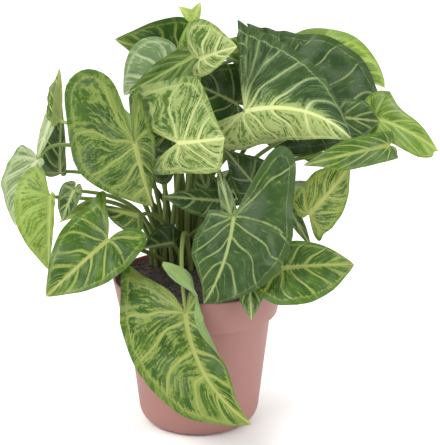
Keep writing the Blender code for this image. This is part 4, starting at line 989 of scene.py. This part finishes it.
class Pieces:
    """Points, faces and skin values of the shells that make one leaf, gathered into one mesh."""

    def __init__(self):
        self.points, self.faces, self.values = [], [], []

    def add(self, points, faces, **values):
        self.faces.append(faces + sum(len(p) for p in self.points))
        self.points.append(points)
        self.values.append(values)

    def piece(self, name, paint, slot, node, seed):
        made = mesh_piece(name, np.vstack(self.points), np.vstack(self.faces).tolist(), paint, slot, node)
        mesh = made.data
        values = {label: np.vstack([shell[label] for shell in self.values]) for label in self.values[0]}
        for label in ("flow", "spot", "looks"):
            layer = mesh.attributes.new(label, "FLOAT_VECTOR", "POINT")
            layer.data.foreach_set("vector", values[label].astype(np.float32).ravel())
        corner = np.empty(len(mesh.loops), np.int32)
        mesh.loops.foreach_get("vertex_index", corner)
        flat = values["flat"] / 100 + np.random.default_rng(seed).random(2) * 3
        mesh.uv_layers.new(name="flat").data.foreach_set("uv", flat[corner].astype(np.float32).ravel())


# Laterals end on a line inside the margin, that share of the half blade from it, or of so many millimetres.
GATHER_INSIDE = 0.15
GATHER_SPAN = 34.0
STREAKS = 12.0
PALE_REACH = 3.4
PUFF_WIDTH = 4.0


def skin_group():
    """Shared pattern of a leaf's skin.

    Vein: the distances to the nearest lateral, to the midrib and to the line that gathers the laterals
    inside the margin, each turned into a soft line. Pale: a band round those lines as wide as the leaf's
    cream says, broken into flecks by streaks that run along the laterals and by a net of fine veins,
    with a thin painted highlight along the margin.
    Rim: the plain zone between the gathering line and the margin. Cloud: soft clouds with flecks in them.
    Painted sheen: broad patches painted grey, a painted sheen where the skin would shine. Relief: puffs
    between the veins, with a fine grain.
    """
    group = bpy.data.node_groups.new("leaf_variegation", "ShaderNodeTree")
    sockets = {"INPUT": ("Net size", "Vein width", "Lateral strength"),
               "OUTPUT": ("Vein", "Pale", "Rim", "Cloud", "Painted sheen", "Under", "Stem", "Brown", "Shade",
                          "Relief")}
    for direction, names in sockets.items():
        for name in names:
            group.interface.new_socket(name, in_out=direction, socket_type="NodeSocketFloat")
    given = group.nodes.new("NodeGroupInput").outputs
    result = group.nodes.new("NodeGroupOutput").inputs
    nodes = Nodes(group)
    maths, times, scaled = nodes.maths, nodes.times, nodes.scaled

    def layer(name):
        vector = nodes.add("Attribute", {"attribute_name": name}).outputs["Vector"]
        return nodes.add("SeparateXYZ", i0=vector).outputs

    def opposite(value):
        """1 - value"""
        return maths("SUBTRACT", 1.0, value)

    def centred(noise, size):
        """(noise - 0.5) * size"""
        return times(maths("SUBTRACT", noise, 0.5), size)

    def rising(value, start, end):
        """3t^2 - 2t^3, where t runs from 0 at the start to 1 at the end."""
        return nodes.ramp(value, start, end, shape="SMOOTHSTEP")

    def soft_line(distance, half_width, blur):
        """1 within the half width of the line, falling smoothly to 0 over the blur."""
        return nodes.ramp(distance, half_width, maths("ADD", half_width, blur), 1.0, 0.0, "SMOOTHSTEP")

    number, pitch, to_rim = layer("flow")
    to_midrib, place, veins = layer("spot")
    cream, shade, side = layer("looks")
    flat = nodes.add("UVMap", {"uv_map": "flat"}).outputs[0]
    wander = nodes.noise(flat, 9.0, 2.0)
    ragged = nodes.noise(flat, 60.0, 3.0, 0.6)["Fac"]
    clouds = nodes.noise(flat, 6.0, 4.0, 0.6)["Fac"]

    lateral = times(maths("ABSOLUTE", maths("SUBTRACT", maths("FRACT", number), 0.5)), pitch)
    span = maths("ADD", to_midrib, to_rim)
    out = maths("DIVIDE", to_midrib, maths("ADD", span, 0.01))
    gather_at = times(maths("MINIMUM", span, GATHER_SPAN),
                      maths("ADD", centred(wander["Fac"], 0.12), GATHER_INSIDE))
    past = maths("SUBTRACT", to_rim, gather_at)
    rim = nodes.ramp(past, -0.6, 1.2, 1.0, 0.0, "SMOOTHSTEP")
    width = times(times(given["Vein width"], scaled(opposite(out), 0.9, 0.25)), scaled(ragged, 0.9, 0.55))
    laterals = times(soft_line(lateral, width, 0.9), scaled(rim, -0.85, 1.0))
    laterals = times(laterals, scaled(ragged, 1.0, 0.45))
    laterals = times(laterals, nodes.limited(scaled(out, -0.75, 1.25)))
    trunk = times(scaled(opposite(maths("ABSOLUTE", place)), 2.7, 0.6), given["Vein width"])
    midrib = times(soft_line(to_midrib, trunk, 0.8), nodes.limited(scaled(veins, 1.6, 0.3)))
    off_gather = maths("ABSOLUTE", past)
    gather = times(soft_line(off_gather, times(width, 0.5), 0.5), scaled(ragged, 1.6, -0.3))
    minor = times(maths("MAXIMUM", laterals, gather), times(given["Lateral strength"], veins))
    vein = nodes.limited(maths("MAXIMUM", minor, midrib))

    course = nodes.add("CombineXYZ", i0=times(number, STREAKS), i1=times(to_midrib, 0.13), i2=clouds)
    streak = nodes.noise(course.outputs[0], 1.0, 2.0, 0.55)["Fac"]
    shift = nodes.add("VectorMath", {"operation": "SCALE"}, i0=wander["Color"], Scale=0.05).outputs[0]
    bent = nodes.add("VectorMath", {"operation": "ADD"}, i0=flat, i1=shift).outputs[0]
    cell = nodes.add("TexVoronoi", {"feature": "DISTANCE_TO_EDGE"}, Vector=bent, Scale=given["Net size"])
    net = soft_line(cell.outputs["Distance"], 0.02, 0.16)
    nearest = maths("MINIMUM", lateral, times(to_midrib, 0.7))
    nearest = maths("MINIMUM", nearest, scaled(off_gather, 1.2, 0.4))
    reach = maths("MINIMUM", scaled(cream, scaled(clouds, 7.0, 1.5), 0.5), PALE_REACH)
    near = maths("MAXIMUM", opposite(maths("DIVIDE", nearest, reach)), scaled(cream, 1.1, -0.75))
    grain = maths("ADD", centred(streak, 4.4), centred(ragged, 1.3))
    mottle = scaled(net, times(cream, 0.45), maths("ADD", near, grain))
    plain = times(rim, scaled(cream, -0.6, 0.7))
    # A thin pale line along the margin: painted highlight, where the edge catches the light.
    painted_margin_highlight = times(soft_line(to_rim, 0.15, 0.3), 0.35)
    pale = maths("MAXIMUM", times(rising(mottle, -0.15, 0.85), opposite(plain)), painted_margin_highlight)

    puff = rising(maths("MINIMUM", lateral, off_gather), 0.0, PUFF_WIDTH)
    relief = scaled(ragged, 0.16, scaled(net, -0.08, scaled(vein, -0.35, puff)))
    fleck = rising(maths("ADD", grain, clouds), 0.5, 1.1)
    cloud = nodes.limited(scaled(fleck, 0.45, nodes.ramp(clouds, 0.35, 0.7, 0.0, 0.7)))
    # Broad patches where the leaf is painted grey: painted sheen.
    patches = nodes.noise(flat, 4.5, 2.0, distortion=0.8)["Fac"]
    painted_sheen = rising(scaled(ragged, 0.12, patches), 0.55, 0.75)
    under = nodes.limited(side)
    stem = nodes.limited(maths("SUBTRACT", side, 1.0))
    answers = (vein, pale, rim, cloud, painted_sheen, under, stem, to_midrib, shade, relief)
    for name, value in zip(sockets["OUTPUT"], answers):
        group.links.new(value, result[name])
    return group


# Grey of the painted sheen on the leaves.
PAINTED_SHEEN_GREY = (0.14, 0.18, 0.12, 1)
STALK_GREEN = (0.17, 0.25, 0.06, 1)
STALK_BROWN = (0.085, 0.055, 0.030, 1)


def leaf_paint(skin, name, colours, net_size, vein_width, lateral_strength, roughness, sheen):
    """Leaf skin: two greens in clouds, pale veins over them, a paler matt underside, a plain petiole."""
    deep, light, vein, beneath = [(*colour, 1) for colour in colours]
    paint, nodes, shader = new_paint(name)
    mixed, times = nodes.mixed, nodes.times
    mask = nodes.add("Group", {"node_tree": skin}, Net_size=net_size, Vein_width=vein_width,
                     Lateral_strength=lateral_strength).outputs

    def dimmed(colour, shade):
        """The colour times the shade, with red times its 1.3th power."""
        tint = nodes.add("CombineXYZ", i0=nodes.maths("POWER", shade, 1.3), i1=shade, i2=shade).outputs[0]
        return nodes.add("VectorMath", {"operation": "MULTIPLY"}, i0=colour, i1=tint).outputs[0]

    green = mixed(nodes.maths("MAXIMUM", mask["Cloud"], times(mask["Rim"], 0.55)), deep, light)
    # Grey patches mixed into the green: painted sheen.
    green = mixed(times(mask["Painted sheen"], 0.22), green, PAINTED_SHEEN_GREY)
    field = dimmed(mixed(mask["Pale"], green, mixed(0.5, light, vein)), mask["Shade"])
    top = mixed(mask["Vein"], field, dimmed(vein[:3], nodes.scaled(mask["Shade"], 0.5, 0.5)))
    below = mixed(mask["Cloud"], beneath, mixed(0.5, beneath, light))
    showing = nodes.maths("MAXIMUM", times(mask["Pale"], 0.28), times(mask["Vein"], 0.6))
    stalk = mixed(nodes.limited(mask["Brown"]), STALK_GREEN, STALK_BROWN)
    rest = dimmed(mixed(mask["Stem"], mixed(showing, below, vein), stalk), mask["Shade"])
    either = nodes.limited(nodes.maths("ADD", mask["Under"], mask["Stem"]))
    nodes.feed(shader, Base_Color=mixed(either, top, rest), Normal=nodes.bump(mask["Relief"], 0.5, 0.0006),
               Roughness=nodes.ramp(mask["Under"], 0.0, 1.0, roughness, 0.7), Sheen_Weight=sheen,
               Sheen_Roughness=0.4, Specular_IOR_Level=0.22)
    return paint


# Rows of a blade's lobe, rows of the rest and columns across, for blades shorter than the length and others.
SMALL_BLADE = 40.0
SMALL_GRID = (10, 26, 8)
LARGE_GRID = (26, 46, 14)

# Each tone: slot, the colours deep, light, vein and beneath, then net size, vein width, lateral strength,
# roughness and sheen.
TONES = {
    "dark": ("dark_leaf", ((0.010, 0.034, 0.004), (0.035, 0.075, 0.009), (0.23, 0.28, 0.10),
                           (0.12, 0.18, 0.06)), 34, 0.24, 0.42, 0.40, 0.02),
    "mid": ("green_leaf", ((0.015, 0.049, 0.003), (0.058, 0.124, 0.006), (0.25, 0.285, 0.075),
                           (0.18, 0.27, 0.10)), 34, 0.42, 0.75, 0.42, 0.0),
    "bright": ("bright_leaf", ((0.08, 0.155, 0.012), (0.16, 0.25, 0.028), (0.32, 0.39, 0.10),
                               (0.22, 0.31, 0.11)), 34, 0.36, 0.6, 0.42, 0.0),
    "pale": ("young_leaf", ((0.040, 0.092, 0.010), (0.12, 0.19, 0.022), (0.46, 0.50, 0.21),
                            (0.24, 0.31, 0.12)), 32, 0.36, 0.8, 0.45, 0.0),
    # The sheen tone's pale grey greens are painted sheen, for leaves seen at a steep angle.
    "sheen": ("sheeny_leaf", ((0.09, 0.15, 0.05), (0.16, 0.23, 0.09), (0.38, 0.43, 0.24),
                              (0.24, 0.31, 0.16)), 34, 0.32, 0.6, 0.36, 0.15),
}

skin = skin_group()
paints = {tone: leaf_paint(skin, *looks) for tone, looks in TONES.items()}
blades = {leaf.name: Blade(leaf) for leaf in LEAVES}
petioles = route_petioles(blades, foot_places())
for seed, leaf in enumerate(LEAVES):
    if leaf.part_of:
        continue
    gathered = Pieces()
    path, radii = petioles[leaf.name]
    round_stem(leaf, path[:PETIOLE_POINTS + 1], radii[:PETIOLE_POINTS + 1], gathered)
    for grown in [leaf] + [other for other in LEAVES if other.part_of == leaf.name]:
        small = blades[grown.name].length < SMALL_BLADE
        fine_blade(grown, SMALL_GRID if small else LARGE_GRID, seed, gathered)
        round_stem(grown, *under_rib(blades[grown.name]), gathered)
    slot = TONES[leaf.tone][0]
    gathered.piece(leaf.name + "_leaf", paints[leaf.tone], slot, "leaf_" + leaf.name, seed)
